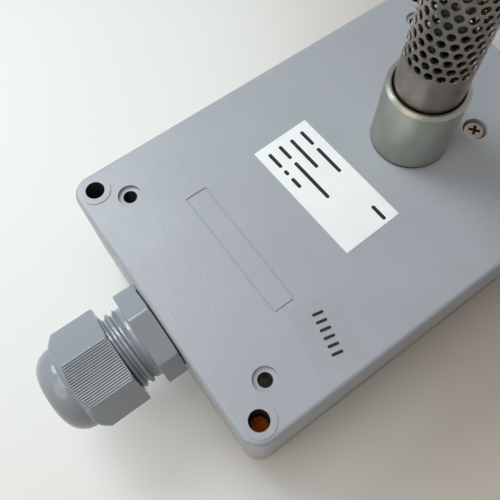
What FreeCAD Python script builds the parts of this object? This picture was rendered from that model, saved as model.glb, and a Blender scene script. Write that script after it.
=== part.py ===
import FreeCAD, Part
import math
import os

V = FreeCAD.Vector

# All sizes are in millimetres. The case lies on its lid: the lid's front face is at z = 0,
# the rear face is on top and carries the probe, and the cable gland is on the -X end wall.

# Case: base and lid share one outline
case_length = 120.0
case_width = 80.0
case_corner_radius = 5.2
base_depth = 30.0
lid_depth = 14.0
side_wall = 3.0
rear_wall = 3.0
lid_wall = 3.0
rear_edge_round = 1.2
lid_edge_round = 1.5

# Seal in the lid's rim
seal_width = 1.4
seal_depth = 1.6
seal_side_gap = 0.1

# Lid screws in the four corner pads
lid_screw_inset = 5.2
corner_pad_radius = 5.6
lid_screw_radius = 1.95
lid_screw_head_radius = 3.6
lid_screw_head_height = 2.4
lid_screw_head_sink = 4.0
lid_screw_end_depth = 8.0
lid_screw_hole_gap = 0.35
lid_screw_head_gap = 0.4
thread_gap = 0.1
rear_bore_radius = 2.4
rear_bore_depth = 11.0
corner_boss_radius = 3.95
corner_boss_height = 0.2

# Wall fixing holes, diagonally inside the lid screws
wall_hole_inset = 11.5
wall_hole_radius = 1.75
wall_hole_spot_radius = 2.95
wall_hole_spot_depth = 0.9
wall_hole_boss_radius = 3.6
wall_hole_boss_height = 4.0

# Empty moulded frame on the rear face
frame_from_end = 25.2
frame_y = 0.6
frame_length = 37.0
frame_width = 6.2
frame_line = 0.5
frame_depth = 0.3
frame_corner_radius = 0.6

# Probe sleeve and the ring nut that clamps it
probe_x = 19.5
probe_y = 0.0
sleeve_radius = 10.0
sleeve_height = 20.5
sleeve_chamfer = 0.7
sleeve_mouth_chamfer = 0.3
sleeve_foot_chamfer = 0.4
neck_radius = 8.9
neck_length = 8.0
neck_gap = 0.2
carrier_bore_radius = 6.5
tube_seat_height = 5.0
tube_gap = 0.2
ring_nut_radius = 12.5
ring_nut_height = 4.0
ring_nut_slots = 4
ring_nut_slot_width = 3.0
ring_nut_slot_depth = 2.0

# Filter tube: rows of holes, each row turned by half a pitch from the one below
tube_radius = 8.25
tube_wall = 0.8
tube_hole_radius = 1.02
tube_hole_sides = 6
tube_holes_per_row = 19
tube_hole_rows = 17
tube_first_row_height = 31.4
tube_row_pitch = 2.3
tube_hole_turn = -4.6
tube_end_margin = 4.3

# Plug in the tube's end
cap_height = 2.0
cap_round = 1.2
cap_spigot_length = 4.0
cap_spigot_gap = 0.1
cap_spigot_chamfer = 0.5

# Circuit board, held by two hex spacers and two moulded bosses
board_x = 3.0
board_length = 78.0
board_width = 54.0
board_thickness = 1.6
board_corner_radius = 2.0
board_gap = 14.0
board_hole_gap = 0.2
board_boss_x = -30.0
board_boss_y = 22.0
board_boss_radius = 3.4
board_boss_core_depth = 8.0
board_screw_radius = 1.45
board_screw_length = 8.0
board_screw_head_radius = 2.75
board_screw_head_height = 1.8
spacer_across_flats = 6.0

# Cross-recess screws beside the sleeve, which hold the spacers
rear_screw_x = 35.0
rear_screw_y = 8.7
rear_screw_radius = 1.5
rear_screw_length = 7.6
rear_screw_head_radius = 2.9
rear_screw_head_height = 1.4
rear_screw_sink = 2.0
rear_screw_head_gap = 0.3
rear_screw_hole_gap = 0.2
rear_screw_pad_radius = 4.4
rear_screw_pad_height = 1.2
cross_length = 3.0
cross_width = 0.8
cross_depth = 0.9
cross_turn = 35.0

# Sensor strip in the tube, its socket and its two elements
carrier_width = 9.0
carrier_thickness = 1.2
carrier_tip_width = 6.0
carrier_tip_length = 14.0
carrier_shoulder = 4.0
carrier_end_gap = 6.0
socket_length = 12.0
socket_width = 5.0
socket_height = 8.5
socket_slot_depth = 5.0
socket_slot_gap = 0.1
humidity_width = 5.0
humidity_height = 5.6
humidity_thickness = 1.8
humidity_window_radius = 1.5
humidity_window_depth = 0.6
humidity_below_tip = 12.0
temperature_width = 2.0
temperature_height = 4.0
temperature_thickness = 1.2
temperature_below_tip = 4.0

# Terminal block on the board's lid side
terminal_x = -26.0
terminal_ways = 6
terminal_pitch = 5.0
terminal_depth = 8.2
terminal_height = 10.0
terminal_shoulder = 2.2
terminal_wire_width = 3.2
terminal_wire_height = 3.0
terminal_wire_depth = 5.0
terminal_wire_rise = 1.6
terminal_well_radius = 1.9
terminal_well_depth = 4.5
terminal_screw_radius = 1.7
terminal_screw_height = 2.4
terminal_slot_width = 0.6
terminal_slot_depth = 0.8

# Capacitors and chips on the board's lid side
capacitor_radius = 4.0
capacitor_height = 10.5
capacitor_round = 0.8
capacitor_x = -6.0
capacitor_y = 17.0
chip_height = 1.75
chip_chamfer = 0.3
wide_chip_length = 10.3
narrow_chip_length = 5.0
chip_width = 4.0
wide_chip_x = 10.0
narrow_chip_x = 25.0
narrow_chip_y = 15.0

# Cable gland: body
gland_y = 0.3
gland_depth = 15.6
gland_hex_across_flats = 23.0
gland_hex_length = 5.6
gland_hex_chamfer = 0.3
gland_hex_turn = 24.1
gland_washer_thickness = 0.4
gland_washer_radius = 11.3
gland_entry_radius = 9.9
gland_entry_length = 10.0
gland_entry_gap = 0.3
gland_thread_radius = 10.4
gland_neck_radius = 10.0
gland_neck_length = 1.4
gland_thread_length = 13.0
gland_thread_chamfer = 0.6
gland_passage_radius = 7.0
gland_claw_bore_depth = 10.0
gland_locknut_across_flats = 24.0
gland_locknut_height = 4.5

# Cable gland: dome nut, as far unscrewed as it is shown
nut_open_gap = 5.9
nut_plain_flat = 11.35
nut_ribbed_flat = 12.5
nut_hex_length = 13.5
nut_hex_turn = 21.4
nut_edge_chamfer = 0.25
nut_scallop_length = 2.0
nut_thread_gap = 0.3
nut_thread_end_margin = 0.7
dome_radius = 11.2
dome_round = 5.8
dome_mouth_radius = 6.5
dome_lip = 0.5
rib_grooves = 19
rib_pitch = 0.61
rib_groove_width = 0.4
rib_depth = 0.36
rib_end_margin = 0.6

# Cable gland: slotted claw and rubber seal, pushed in by the nut
claw_radius = 8.5
claw_bore_gap = 0.3
claw_inner_radius = 6.6
claw_tip_radius = 7.4
claw_cone_gap = 0.3
claw_tip_length = 2.6
claw_engaged_length = 4.0
claw_slots = 8
claw_slot_width = 1.0
claw_slot_length = 8.0
seal_sleeve_gap = 0.2
seal_sleeve_bore_radius = 5.0
seal_sleeve_length = 10.0
seal_sleeve_inset = 1.0

# Label and clear film on the rear face
label_from_end = 53.0
label_y = 2.0
label_width = 17.1
label_length = 35.7
label_thickness = 0.12
label_turn = 2.1
label_corner_radius = 0.25
sticker_from_end = 29.0
sticker_from_side = 11.5
sticker_width = 12.4
sticker_length = 17.0
sticker_thickness = 0.08
sticker_turn = -13.0
sticker_corner_radius = 0.8

# Levels and places that follow from the sizes above
rear_z = lid_depth + base_depth
floor_z = rear_z - rear_wall
board_top = floor_z - board_gap
board_under = board_top - board_thickness
spacer_top = floor_z - rear_screw_pad_height
tube_foot = rear_z + tube_seat_height
tube_last_row = rear_z + tube_first_row_height + (tube_hole_rows - 1) * tube_row_pitch
tube_top = tube_last_row + tube_end_margin
tube_bore = tube_radius - tube_wall
end_wall_x = -case_length / 2
frame_x = end_wall_x + frame_from_end
label_x = end_wall_x + label_from_end
sticker_x = end_wall_x + sticker_from_end
sticker_y = -case_width / 2 + sticker_from_side
gland_z = rear_z - gland_depth
gland_hex_start = end_wall_x - gland_washer_thickness
gland_hex_end = gland_hex_start - gland_hex_length
gland_thread_end = gland_hex_end - gland_thread_length
claw_bore_radius = claw_radius + claw_bore_gap
nut_start = gland_hex_end - nut_open_gap
nut_hex_end = nut_start - nut_hex_length
dome_rise = dome_mouth_radius + dome_lip - (dome_radius - dome_round)
dome_length = math.sqrt(dome_round ** 2 - dome_rise ** 2)
nut_end = nut_hex_end - dome_length
claw_start = gland_thread_end + claw_engaged_length
nut_bore_radius = gland_thread_radius + nut_thread_gap
nut_bore_end = nut_hex_end + nut_thread_end_margin
cone_end = nut_end + dome_lip
cone_slope = (nut_bore_radius - dome_mouth_radius) / (nut_bore_end - cone_end)
claw_end = nut_bore_end - (nut_bore_radius - claw_tip_radius - claw_cone_gap) / cone_slope


def corner_points(inset):
    """Four points, one in each corner of the outline, at one inset from both edges."""
    x = case_length / 2 - inset
    y = case_width / 2 - inset
    return [(x, y), (-x, y), (-x, -y), (x, -y)]


def rounded_outline(length, width, radius, centre_x, centre_y, z):
    """Closed wire of a rectangle with round corners."""
    edges = []
    ends = []
    for quarter, (sx, sy) in enumerate([(1, 1), (-1, 1), (-1, -1), (1, -1)]):
        middle = V(centre_x + sx * (length / 2 - radius), centre_y + sy * (width / 2 - radius), z)
        around = [middle + V(radius * math.cos(a), radius * math.sin(a), 0)
                  for a in (math.radians(90 * quarter + part) for part in (0, 45, 90))]
        edges.append(Part.Arc(*around).toShape())
        ends.append((around[0], around[2]))
    for (_, leave), (arrive, _) in zip(ends, ends[1:] + ends[:1]):
        edges.append(Part.makeLine(leave, arrive))
    return Part.Wire(Part.__sortEdges__(edges))


def rounded_prism(length, width, radius, low, high, centre_x=0.0, centre_y=0.0):
    """Upright prism on a rounded rectangle."""
    outline = rounded_outline(length, width, radius, centre_x, centre_y, low)
    return Part.Face(outline).extrude(V(0, 0, high - low))


def upright_cylinder(x, y, radius, low, high):
    return Part.makeCylinder(radius, high - low, V(x, y, low))


def block(centre_x, centre_y, length, width, low, high):
    corner = V(centre_x - length / 2, centre_y - width / 2, low)
    return Part.makeBox(length, width, high - low, corner)


def turned_upright(points, x, y):
    """Solid turned about an upright axis from a closed profile of (radius, height) points."""
    ring = [V(x + radius, y, height) for radius, height in points]
    face = Part.Face(Part.makePolygon(ring + ring[:1]))
    return face.revolve(V(x, y, 0), V(0, 0, 1), 360)


def gland_point(x, radius):
    return V(x, gland_y, gland_z + radius)


def turned_on_gland(edges):
    """Solid turned about the gland's axis from the edges of a closed profile."""
    face = Part.Face(Part.Wire(edges))
    return face.revolve(V(0, gland_y, gland_z), V(1, 0, 0), 360)


def gland_profile(points):
    """Straight edges through (x, radius) points, closed."""
    ring = [gland_point(x, radius) for x, radius in points]
    return [Part.makeLine(a, b) for a, b in zip(ring, ring[1:] + ring[:1])]


def gland_cylinder(radius, start, end):
    """Cylinder on the gland's axis from the larger x to the smaller."""
    return Part.makeCylinder(radius, start - end, V(end, gland_y, gland_z), V(1, 0, 0))


def gland_hex(across_flats, turn, start, end):
    """Hexagonal bar on the gland's axis."""
    radius = across_flats / math.sqrt(3)
    ring = []
    for corner in range(6):
        angle = math.radians(turn + 60 * corner)
        ring.append(V(end, gland_y + radius * math.cos(angle), gland_z + radius * math.sin(angle)))
    return Part.Face(Part.makePolygon(ring + ring[:1])).extrude(V(start - end, 0, 0))


def edges_at_height(shape, height):
    return [edge for edge in shape.Edges
            if abs(edge.BoundBox.ZMin - height) < 1e-6 and abs(edge.BoundBox.ZMax - height) < 1e-6]


def cavity(margin, low, high):
    """Hollow of the case, widened into its walls and corner pads by a margin."""
    inset = side_wall - margin
    radius = max(case_corner_radius - inset, rear_edge_round)
    hollow = rounded_prism(case_length - 2 * inset, case_width - 2 * inset, radius, low, high)
    pad_size = 2 * (lid_screw_inset + corner_pad_radius - margin)
    pads = [rounded_prism(pad_size, pad_size, corner_pad_radius - margin, low, high, x, y)
            for x, y in corner_points(0)]
    return hollow.cut(pads)


def cross_recess(x, y, top):
    """Two crossed slots in a screw's head."""
    slots = block(x, y, cross_length, cross_width, top - cross_depth, top)
    slots = slots.fuse(block(x, y, cross_width, cross_length, top - cross_depth, top))
    slots.rotate(V(x, y, 0), V(0, 0, 1), cross_turn)
    return slots


def rear_screw_points():
    return [(rear_screw_x, probe_y - rear_screw_y), (rear_screw_x, probe_y + rear_screw_y)]


def board_boss_points():
    return [(board_boss_x, -board_boss_y), (board_boss_x, board_boss_y)]


def make_housing_base():
    shell = rounded_prism(case_length, case_width, case_corner_radius, lid_depth, rear_z)
    shell = shell.makeFillet(rear_edge_round, edges_at_height(shell, rear_z))
    shell = shell.cut(cavity(0.0, lid_depth, floor_z))
    added = []
    removed = []
    for x, y in corner_points(lid_screw_inset):
        added.append(upright_cylinder(x, y, corner_boss_radius, rear_z - rear_edge_round,
                                      rear_z + corner_boss_height))
        removed.append(upright_cylinder(x, y, lid_screw_radius + thread_gap, lid_depth, rear_z))
        removed.append(upright_cylinder(x, y, rear_bore_radius, rear_z - rear_bore_depth,
                                        rear_z + corner_boss_height))
    for x, y in corner_points(wall_hole_inset):
        added.append(upright_cylinder(x, y, wall_hole_boss_radius, floor_z - wall_hole_boss_height,
                                      floor_z))
        removed.append(upright_cylinder(x, y, wall_hole_radius, floor_z - wall_hole_boss_height,
                                        rear_z))
        removed.append(upright_cylinder(x, y, wall_hole_spot_radius, rear_z - wall_hole_spot_depth,
                                        rear_z))
    for x, y in board_boss_points():
        added.append(upright_cylinder(x, y, board_boss_radius, board_top, floor_z))
        removed.append(upright_cylinder(x, y, board_screw_radius + thread_gap, board_top,
                                        board_top + board_boss_core_depth))
    for x, y in rear_screw_points():
        added.append(upright_cylinder(x, y, rear_screw_pad_radius, spacer_top, floor_z))
        removed.append(upright_cylinder(x, y, rear_screw_radius + rear_screw_hole_gap, spacer_top,
                                        rear_z))
        removed.append(upright_cylinder(x, y, rear_screw_head_radius + rear_screw_head_gap,
                                        rear_z - rear_screw_sink, rear_z))
    removed.append(upright_cylinder(probe_x, probe_y, neck_radius + neck_gap, floor_z, rear_z))
    removed.append(gland_cylinder(gland_entry_radius + gland_entry_gap, end_wall_x + side_wall,
                                  end_wall_x))
    frame = rounded_prism(frame_width, frame_length, frame_corner_radius, rear_z - frame_depth,
                          rear_z, frame_x, frame_y)
    inside = rounded_prism(frame_width - 2 * frame_line, frame_length - 2 * frame_line,
                           frame_corner_radius - frame_line, rear_z - frame_depth, rear_z,
                           frame_x, frame_y)
    removed.append(frame.cut(inside))
    return shell.fuse(added).cut(removed).removeSplitter()


def seal_band(gap, low, high):
    """Band that runs round the rim and inside the corner pads, midway in the wall."""
    inner_margin = (side_wall - seal_width) / 2
    outer = cavity(inner_margin + seal_width - gap, low, high)
    return outer.cut(cavity(inner_margin + gap, low, high))


def make_housing_lid():
    shell = rounded_prism(case_length, case_width, case_corner_radius, 0.0, lid_depth)
    shell = shell.makeFillet(lid_edge_round, edges_at_height(shell, 0.0))
    removed = [cavity(0.0, lid_wall, lid_depth), seal_band(0.0, lid_depth - seal_depth, lid_depth)]
    for x, y in corner_points(lid_screw_inset):
        removed.append(upright_cylinder(x, y, lid_screw_radius + lid_screw_hole_gap, 0.0, lid_depth))
        removed.append(upright_cylinder(x, y, lid_screw_head_radius + lid_screw_head_gap, 0.0,
                                        lid_screw_head_sink))
    return shell.cut(removed).removeSplitter()


def make_lid_seal():
    return seal_band(seal_side_gap, lid_depth - seal_depth, lid_depth)


def make_lid_screws():
    screws = []
    for x, y in corner_points(lid_screw_inset):
        head_low = lid_screw_head_sink - lid_screw_head_height
        head = upright_cylinder(x, y, lid_screw_head_radius, head_low, lid_screw_head_sink)
        shank = upright_cylinder(x, y, lid_screw_radius, head_low, rear_z - lid_screw_end_depth)
        recess = cross_recess(x, y, head_low + cross_depth)
        screws.append(head.fuse(shank).cut(recess).removeSplitter())
    return Part.makeCompound(screws)


def make_probe_sleeve():
    top = rear_z + sleeve_height
    mouth = tube_radius + tube_gap
    foot = rear_z - neck_length
    return turned_upright([
        (carrier_bore_radius, foot),
        (neck_radius, foot),
        (neck_radius, rear_z),
        (sleeve_radius - sleeve_foot_chamfer, rear_z),
        (sleeve_radius, rear_z + sleeve_foot_chamfer),
        (sleeve_radius, top - sleeve_chamfer),
        (sleeve_radius - sleeve_chamfer, top),
        (mouth + sleeve_mouth_chamfer, top),
        (mouth, top - sleeve_mouth_chamfer),
        (mouth, tube_foot),
        (carrier_bore_radius, tube_foot),
    ], probe_x, probe_y)


def make_sleeve_nut():
    low = floor_z - ring_nut_height
    ring = upright_cylinder(probe_x, probe_y, ring_nut_radius, low, floor_z)
    removed = [upright_cylinder(probe_x, probe_y, neck_radius + thread_gap, low, floor_z)]
    for turn in range(ring_nut_slots):
        slot = block(probe_x + ring_nut_radius, probe_y, 2 * ring_nut_slot_depth,
                     ring_nut_slot_width, low, floor_z)
        slot.rotate(V(probe_x, probe_y, 0), V(0, 0, 1), 360 * (turn + 0.5) / ring_nut_slots)
        removed.append(slot)
    return ring.cut(removed)


def make_filter_tube():
    """Thin tube with staggered rows of holes; each hole is cut by a short radial bar."""
    tube = upright_cylinder(probe_x, probe_y, tube_radius, tube_foot, tube_top)
    tube = tube.cut(upright_cylinder(probe_x, probe_y, tube_bore, tube_foot, tube_top))
    reach = 2 * tube_wall
    ring = []
    for side in range(tube_hole_sides):
        angle = 2 * math.pi * side / tube_hole_sides
        ring.append(V(tube_bore - tube_wall / 2, tube_hole_radius * math.cos(angle),
                      tube_hole_radius * math.sin(angle)))
    bar = Part.Face(Part.makePolygon(ring + ring[:1])).extrude(V(reach, 0, 0))
    pitch = 360 / tube_holes_per_row
    bars = []
    for row in range(tube_hole_rows):
        height = rear_z + tube_first_row_height + row * tube_row_pitch
        for column in range(tube_holes_per_row):
            cutter = bar.copy()
            cutter.rotate(V(0, 0, 0), V(0, 0, 1), tube_hole_turn + pitch * (column + 0.5 * (row % 2)))
            cutter.translate(V(probe_x, probe_y, height))
            bars.append(cutter)
    return tube.cut(Part.makeCompound(bars))


def make_filter_cap():
    top = tube_top + cap_height
    spigot = tube_bore - cap_spigot_gap
    low = tube_top - cap_spigot_length
    cap = turned_upright([
        (0, low),
        (spigot - cap_spigot_chamfer, low),
        (spigot, low + cap_spigot_chamfer),
        (spigot, tube_top),
        (tube_radius, tube_top),
        (tube_radius, top),
        (0, top),
    ], probe_x, probe_y)
    return cap.makeFillet(cap_round, edges_at_height(cap, top))


def carrier_levels():
    """Foot and tip of the sensor strip."""
    foot = board_top + socket_height - socket_slot_depth
    return foot, tube_top - cap_spigot_length - carrier_end_gap


def make_sensor_carrier():
    foot, tip = carrier_levels()
    neck = tip - carrier_tip_length
    half = carrier_width / 2
    tip_half = carrier_tip_width / 2
    outline = [(-half, foot), (half, foot), (half, neck - carrier_shoulder), (tip_half, neck),
               (tip_half, tip), (-tip_half, tip), (-tip_half, neck), (-half, neck - carrier_shoulder)]
    front = probe_y - carrier_thickness / 2
    ring = [V(probe_x + across, front, height) for across, height in outline]
    return Part.Face(Part.makePolygon(ring + ring[:1])).extrude(V(0, carrier_thickness, 0))


def on_carrier(width, height, thickness, below_tip):
    """Block on the strip's -Y face, hung below its tip."""
    _, tip = carrier_levels()
    top = tip - below_tip
    centre_y = probe_y - carrier_thickness / 2 - thickness / 2
    return block(probe_x, centre_y, width, thickness, top - height, top)


def make_humidity_sensor():
    body = on_carrier(humidity_width, humidity_height, humidity_thickness, humidity_below_tip)
    box = body.BoundBox
    window = Part.makeCylinder(humidity_window_radius, humidity_window_depth,
                               V(probe_x, box.YMin, box.ZMin + humidity_height / 2), V(0, 1, 0))
    return body.cut(window)


def make_temperature_sensor():
    return on_carrier(temperature_width, temperature_height, temperature_thickness,
                      temperature_below_tip)


def make_sensor_socket():
    top = board_top + socket_height
    body = block(probe_x, probe_y, socket_length, socket_width, board_top, top)
    slot = block(probe_x, probe_y, carrier_width + 2 * socket_slot_gap,
                 carrier_thickness + 2 * socket_slot_gap, top - socket_slot_depth, top)
    return body.cut(slot)


def make_main_board():
    board = rounded_prism(board_length, board_width, board_corner_radius, board_under, board_top,
                          board_x, 0.0)
    holes = [upright_cylinder(x, y, board_screw_radius + board_hole_gap, board_under, board_top)
             for x, y in board_boss_points() + rear_screw_points()]
    return board.cut(holes)


def make_board_spacers():
    spacers = []
    for x, y in rear_screw_points():
        radius = spacer_across_flats / math.sqrt(3)
        ring = [V(x + radius * math.cos(math.radians(60 * k)),
                  y + radius * math.sin(math.radians(60 * k)), board_top) for k in range(6)]
        bar = Part.Face(Part.makePolygon(ring + ring[:1])).extrude(V(0, 0, spacer_top - board_top))
        bore = max(rear_screw_radius, board_screw_radius) + thread_gap
        spacers.append(bar.cut(upright_cylinder(x, y, bore, board_top, spacer_top)))
    return Part.makeCompound(spacers)


def make_board_screws():
    screws = []
    for x, y in board_boss_points() + rear_screw_points():
        low = board_under - board_screw_head_height
        head = upright_cylinder(x, y, board_screw_head_radius, low, board_under)
        shank = upright_cylinder(x, y, board_screw_radius, low, board_under + board_screw_length)
        recess = cross_recess(x, y, low + cross_depth)
        screws.append(head.fuse(shank).cut(recess).removeSplitter())
    return Part.makeCompound(screws)


def make_rear_screws():
    screws = []
    for x, y in rear_screw_points():
        seat = rear_z - rear_screw_sink
        top = seat + rear_screw_head_height
        head = upright_cylinder(x, y, rear_screw_head_radius, seat, top)
        head = head.makeFillet(rear_screw_head_height / 2, edges_at_height(head, top))
        shank = upright_cylinder(x, y, rear_screw_radius, seat - rear_screw_length, seat)
        screws.append(head.fuse(shank).cut(cross_recess(x, y, top)).removeSplitter())
    return Part.makeCompound(screws)


def terminal_centres():
    """Y of each way of the terminal block."""
    middle = (terminal_ways - 1) / 2
    return [(way - middle) * terminal_pitch for way in range(terminal_ways)]


def make_terminal_block():
    front = terminal_x - terminal_depth / 2
    back = terminal_x + terminal_depth / 2
    low = board_under - terminal_height
    half = terminal_ways * terminal_pitch / 2
    outline = [(front, board_under), (back, board_under), (back, low + terminal_shoulder),
               (back - terminal_shoulder, low), (front + terminal_shoulder, low),
               (front, low + terminal_shoulder)]
    ring = [V(x, -half, z) for x, z in outline]
    body = Part.Face(Part.makePolygon(ring + ring[:1])).extrude(V(0, 2 * half, 0))
    removed = []
    for y in terminal_centres():
        wire_top = board_under - terminal_wire_rise
        removed.append(block(front + terminal_wire_depth / 2, y, terminal_wire_depth,
                             terminal_wire_width, wire_top - terminal_wire_height, wire_top))
        removed.append(upright_cylinder(terminal_x, y, terminal_well_radius, low,
                                        low + terminal_well_depth))
    return body.cut(removed)


def make_terminal_screws():
    screws = []
    top = board_under - terminal_height + terminal_well_depth
    for y in terminal_centres():
        low = top - terminal_screw_height
        screw = upright_cylinder(terminal_x, y, terminal_screw_radius, low, top)
        slot = block(terminal_x, y, terminal_slot_width, 2 * terminal_screw_radius, low,
                     low + terminal_slot_depth)
        screws.append(screw.cut(slot))
    return Part.makeCompound(screws)


def make_capacitors():
    cans = []
    low = board_under - capacitor_height
    for y in (-capacitor_y, capacitor_y):
        can = upright_cylinder(capacitor_x, y, capacitor_radius, low, board_under)
        cans.append(can.makeFillet(capacitor_round, edges_at_height(can, low)))
    return Part.makeCompound(cans)


def make_circuit_chips():
    chips = []
    low = board_under - chip_height
    places = [(wide_chip_x, 0.0, wide_chip_length), (narrow_chip_x, -narrow_chip_y, narrow_chip_length),
              (narrow_chip_x, narrow_chip_y, narrow_chip_length)]
    for x, y, length in places:
        chip = block(x, y, length, chip_width, low, board_under)
        chips.append(chip.makeChamfer(chip_chamfer, edges_at_height(chip, low)))
    return Part.makeCompound(chips)


def make_gland_washer():
    ring = gland_cylinder(gland_washer_radius, end_wall_x, gland_hex_start)
    return ring.cut(gland_cylinder(gland_entry_radius + thread_gap, end_wall_x, gland_hex_start))


def hex_with_chamfers(across_flats, turn, start, end):
    """Hexagonal bar whose corners are turned down at both ends."""
    corner = across_flats / math.sqrt(3)
    rim = corner - 2 * gland_hex_chamfer
    envelope = turned_on_gland(gland_profile([
        (start, 0), (start, rim), (start - gland_hex_chamfer, corner),
        (end + gland_hex_chamfer, corner), (end, rim), (end, 0),
    ]))
    return gland_hex(across_flats, turn, start, end).common(envelope)


def make_gland_body():
    inner_end = end_wall_x + gland_entry_length
    middle = gland_hex_start - gland_hex_length / 2
    entry_stem = turned_on_gland(gland_profile([
        (inner_end, 0),
        (inner_end, gland_entry_radius - gland_thread_chamfer),
        (inner_end - gland_thread_chamfer, gland_entry_radius),
        (middle, gland_entry_radius),
        (middle, 0),
    ]))
    neck_end = gland_hex_end - gland_neck_length
    thread_root = gland_thread_radius - gland_thread_chamfer
    nut_stem = turned_on_gland(gland_profile([
        (middle, 0),
        (middle, gland_neck_radius),
        (neck_end, gland_neck_radius),
        (neck_end - gland_thread_chamfer, gland_thread_radius),
        (gland_thread_end + gland_thread_chamfer, gland_thread_radius),
        (gland_thread_end, thread_root),
        (gland_thread_end, 0),
    ]))
    collar = hex_with_chamfers(gland_hex_across_flats, gland_hex_turn, gland_hex_start,
                               gland_hex_end)
    passage = gland_cylinder(gland_passage_radius, inner_end, gland_thread_end)
    claw_bore = gland_cylinder(claw_bore_radius, gland_thread_end + gland_claw_bore_depth,
                               gland_thread_end)
    return collar.fuse([entry_stem, nut_stem]).cut([passage, claw_bore]).removeSplitter()


def make_gland_locknut():
    inner_face = end_wall_x + side_wall
    outer_face = inner_face + gland_locknut_height
    nut = hex_with_chamfers(gland_locknut_across_flats, 0.0, outer_face, inner_face)
    return nut.cut(gland_cylinder(gland_entry_radius + thread_gap, outer_face, inner_face))


def dome_arc():
    """Quarter round of the dome, from its cylinder to the lip of its mouth."""
    sweep = math.acos(dome_rise / dome_round)
    centre_radius = dome_radius - dome_round
    points = [gland_point(nut_hex_end - dome_round * math.sin(angle),
                          centre_radius + dome_round * math.cos(angle))
              for angle in (0.0, sweep / 2, sweep)]
    return Part.Arc(*points).toShape()


def nut_bar():
    """Bar with six flats, of which every second one, the ribbed ones, lies further out."""
    flats = [nut_plain_flat, nut_ribbed_flat] * 3
    ring = []
    for face, (flat, following) in enumerate(zip(flats, flats[1:] + flats[:1])):
        normal = math.radians(nut_hex_turn + 30 + 60 * face)
        along = (2 * following - flat) / math.sqrt(3)
        ring.append(V(nut_hex_end,
                      gland_y + flat * math.cos(normal) - along * math.sin(normal),
                      gland_z + flat * math.sin(normal) + along * math.cos(normal)))
    return Part.Face(Part.makePolygon(ring + ring[:1])).extrude(V(nut_start - nut_hex_end, 0, 0))


def make_gland_nut():
    """Dome nut: a hexagon whose corners run out in scallops into a round dome, with ribbed flats."""
    corner = math.hypot(nut_plain_flat, (2 * nut_ribbed_flat - nut_plain_flat) / math.sqrt(3))
    scallop_start = nut_hex_end + nut_scallop_length
    envelope = turned_on_gland(gland_profile([
        (nut_start, 0), (nut_start, corner - 2 * nut_edge_chamfer),
        (nut_start - nut_edge_chamfer, corner), (scallop_start, corner),
        (nut_hex_end, dome_radius), (nut_hex_end, 0),
    ]))
    body = nut_bar().common(envelope)
    lip = gland_point(nut_end, dome_mouth_radius + dome_lip)
    dome = turned_on_gland([
        dome_arc(),
        Part.makeLine(lip, gland_point(nut_end, 0)),
        Part.makeLine(gland_point(nut_end, 0), gland_point(nut_hex_end, 0)),
        Part.makeLine(gland_point(nut_hex_end, 0), gland_point(nut_hex_end, dome_radius)),
    ])
    hollow = turned_on_gland(gland_profile([
        (nut_start, 0), (nut_start, nut_bore_radius), (nut_bore_end, nut_bore_radius),
        (cone_end, dome_mouth_radius), (nut_end, dome_mouth_radius), (nut_end, 0),
    ]))
    return body.fuse(dome).cut([hollow] + rib_cutters()).removeSplitter()


def rib_cutters():
    """V grooves along the axis on every second flat of the nut."""
    start = nut_start - rib_end_margin
    end = nut_hex_end + rib_end_margin
    cutters = []
    for face in (1, 3, 5):
        for groove in range(rib_grooves):
            across = (groove - (rib_grooves - 1) / 2) * rib_pitch
            ring = [V(end, gland_y + across - rib_groove_width / 2, gland_z + nut_ribbed_flat),
                    V(end, gland_y + across + rib_groove_width / 2, gland_z + nut_ribbed_flat),
                    V(end, gland_y + across, gland_z + nut_ribbed_flat - rib_depth)]
            bar = Part.Face(Part.makePolygon(ring + ring[:1])).extrude(V(start - end, 0, 0))
            bar.rotate(V(0, gland_y, gland_z), V(1, 0, 0), nut_hex_turn + 30 + 60 * face - 90)
            cutters.append(bar)
    return cutters


def make_gland_claw():
    """Slotted sleeve that the nut's cone closes on the seal."""
    sleeve = turned_on_gland(gland_profile([
        (claw_start, claw_inner_radius), (claw_start, claw_radius),
        (claw_end + claw_tip_length, claw_radius), (claw_end, claw_tip_radius),
        (claw_end, claw_inner_radius),
    ]))
    slots = []
    for slot in range(claw_slots // 2):
        bar = Part.makeBox(claw_slot_length, 2 * claw_radius, claw_slot_width,
                           V(claw_end, gland_y - claw_radius, gland_z - claw_slot_width / 2))
        bar.rotate(V(0, gland_y, gland_z), V(1, 0, 0), 360 * slot / claw_slots)
        slots.append(bar)
    return sleeve.cut(slots)


def make_gland_seal():
    start = claw_start - seal_sleeve_inset
    end = start - seal_sleeve_length
    sleeve = gland_cylinder(claw_inner_radius - seal_sleeve_gap, start, end)
    return sleeve.cut(gland_cylinder(seal_sleeve_bore_radius, start, end))


def film(width, length, thickness, radius, x, y, turn):
    """Thin sheet that lies on the rear face, a little turned."""
    sheet = rounded_prism(width, length, radius, rear_z, rear_z + thickness, x, y)
    sheet.rotate(V(x, y, 0), V(0, 0, 1), turn)
    return sheet


def make_rating_label():
    return film(label_width, label_length, label_thickness, label_corner_radius, label_x, label_y,
                label_turn)


def make_clear_sticker():
    return film(sticker_width, sticker_length, sticker_thickness, sticker_corner_radius, sticker_x,
                sticker_y, sticker_turn)


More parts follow.
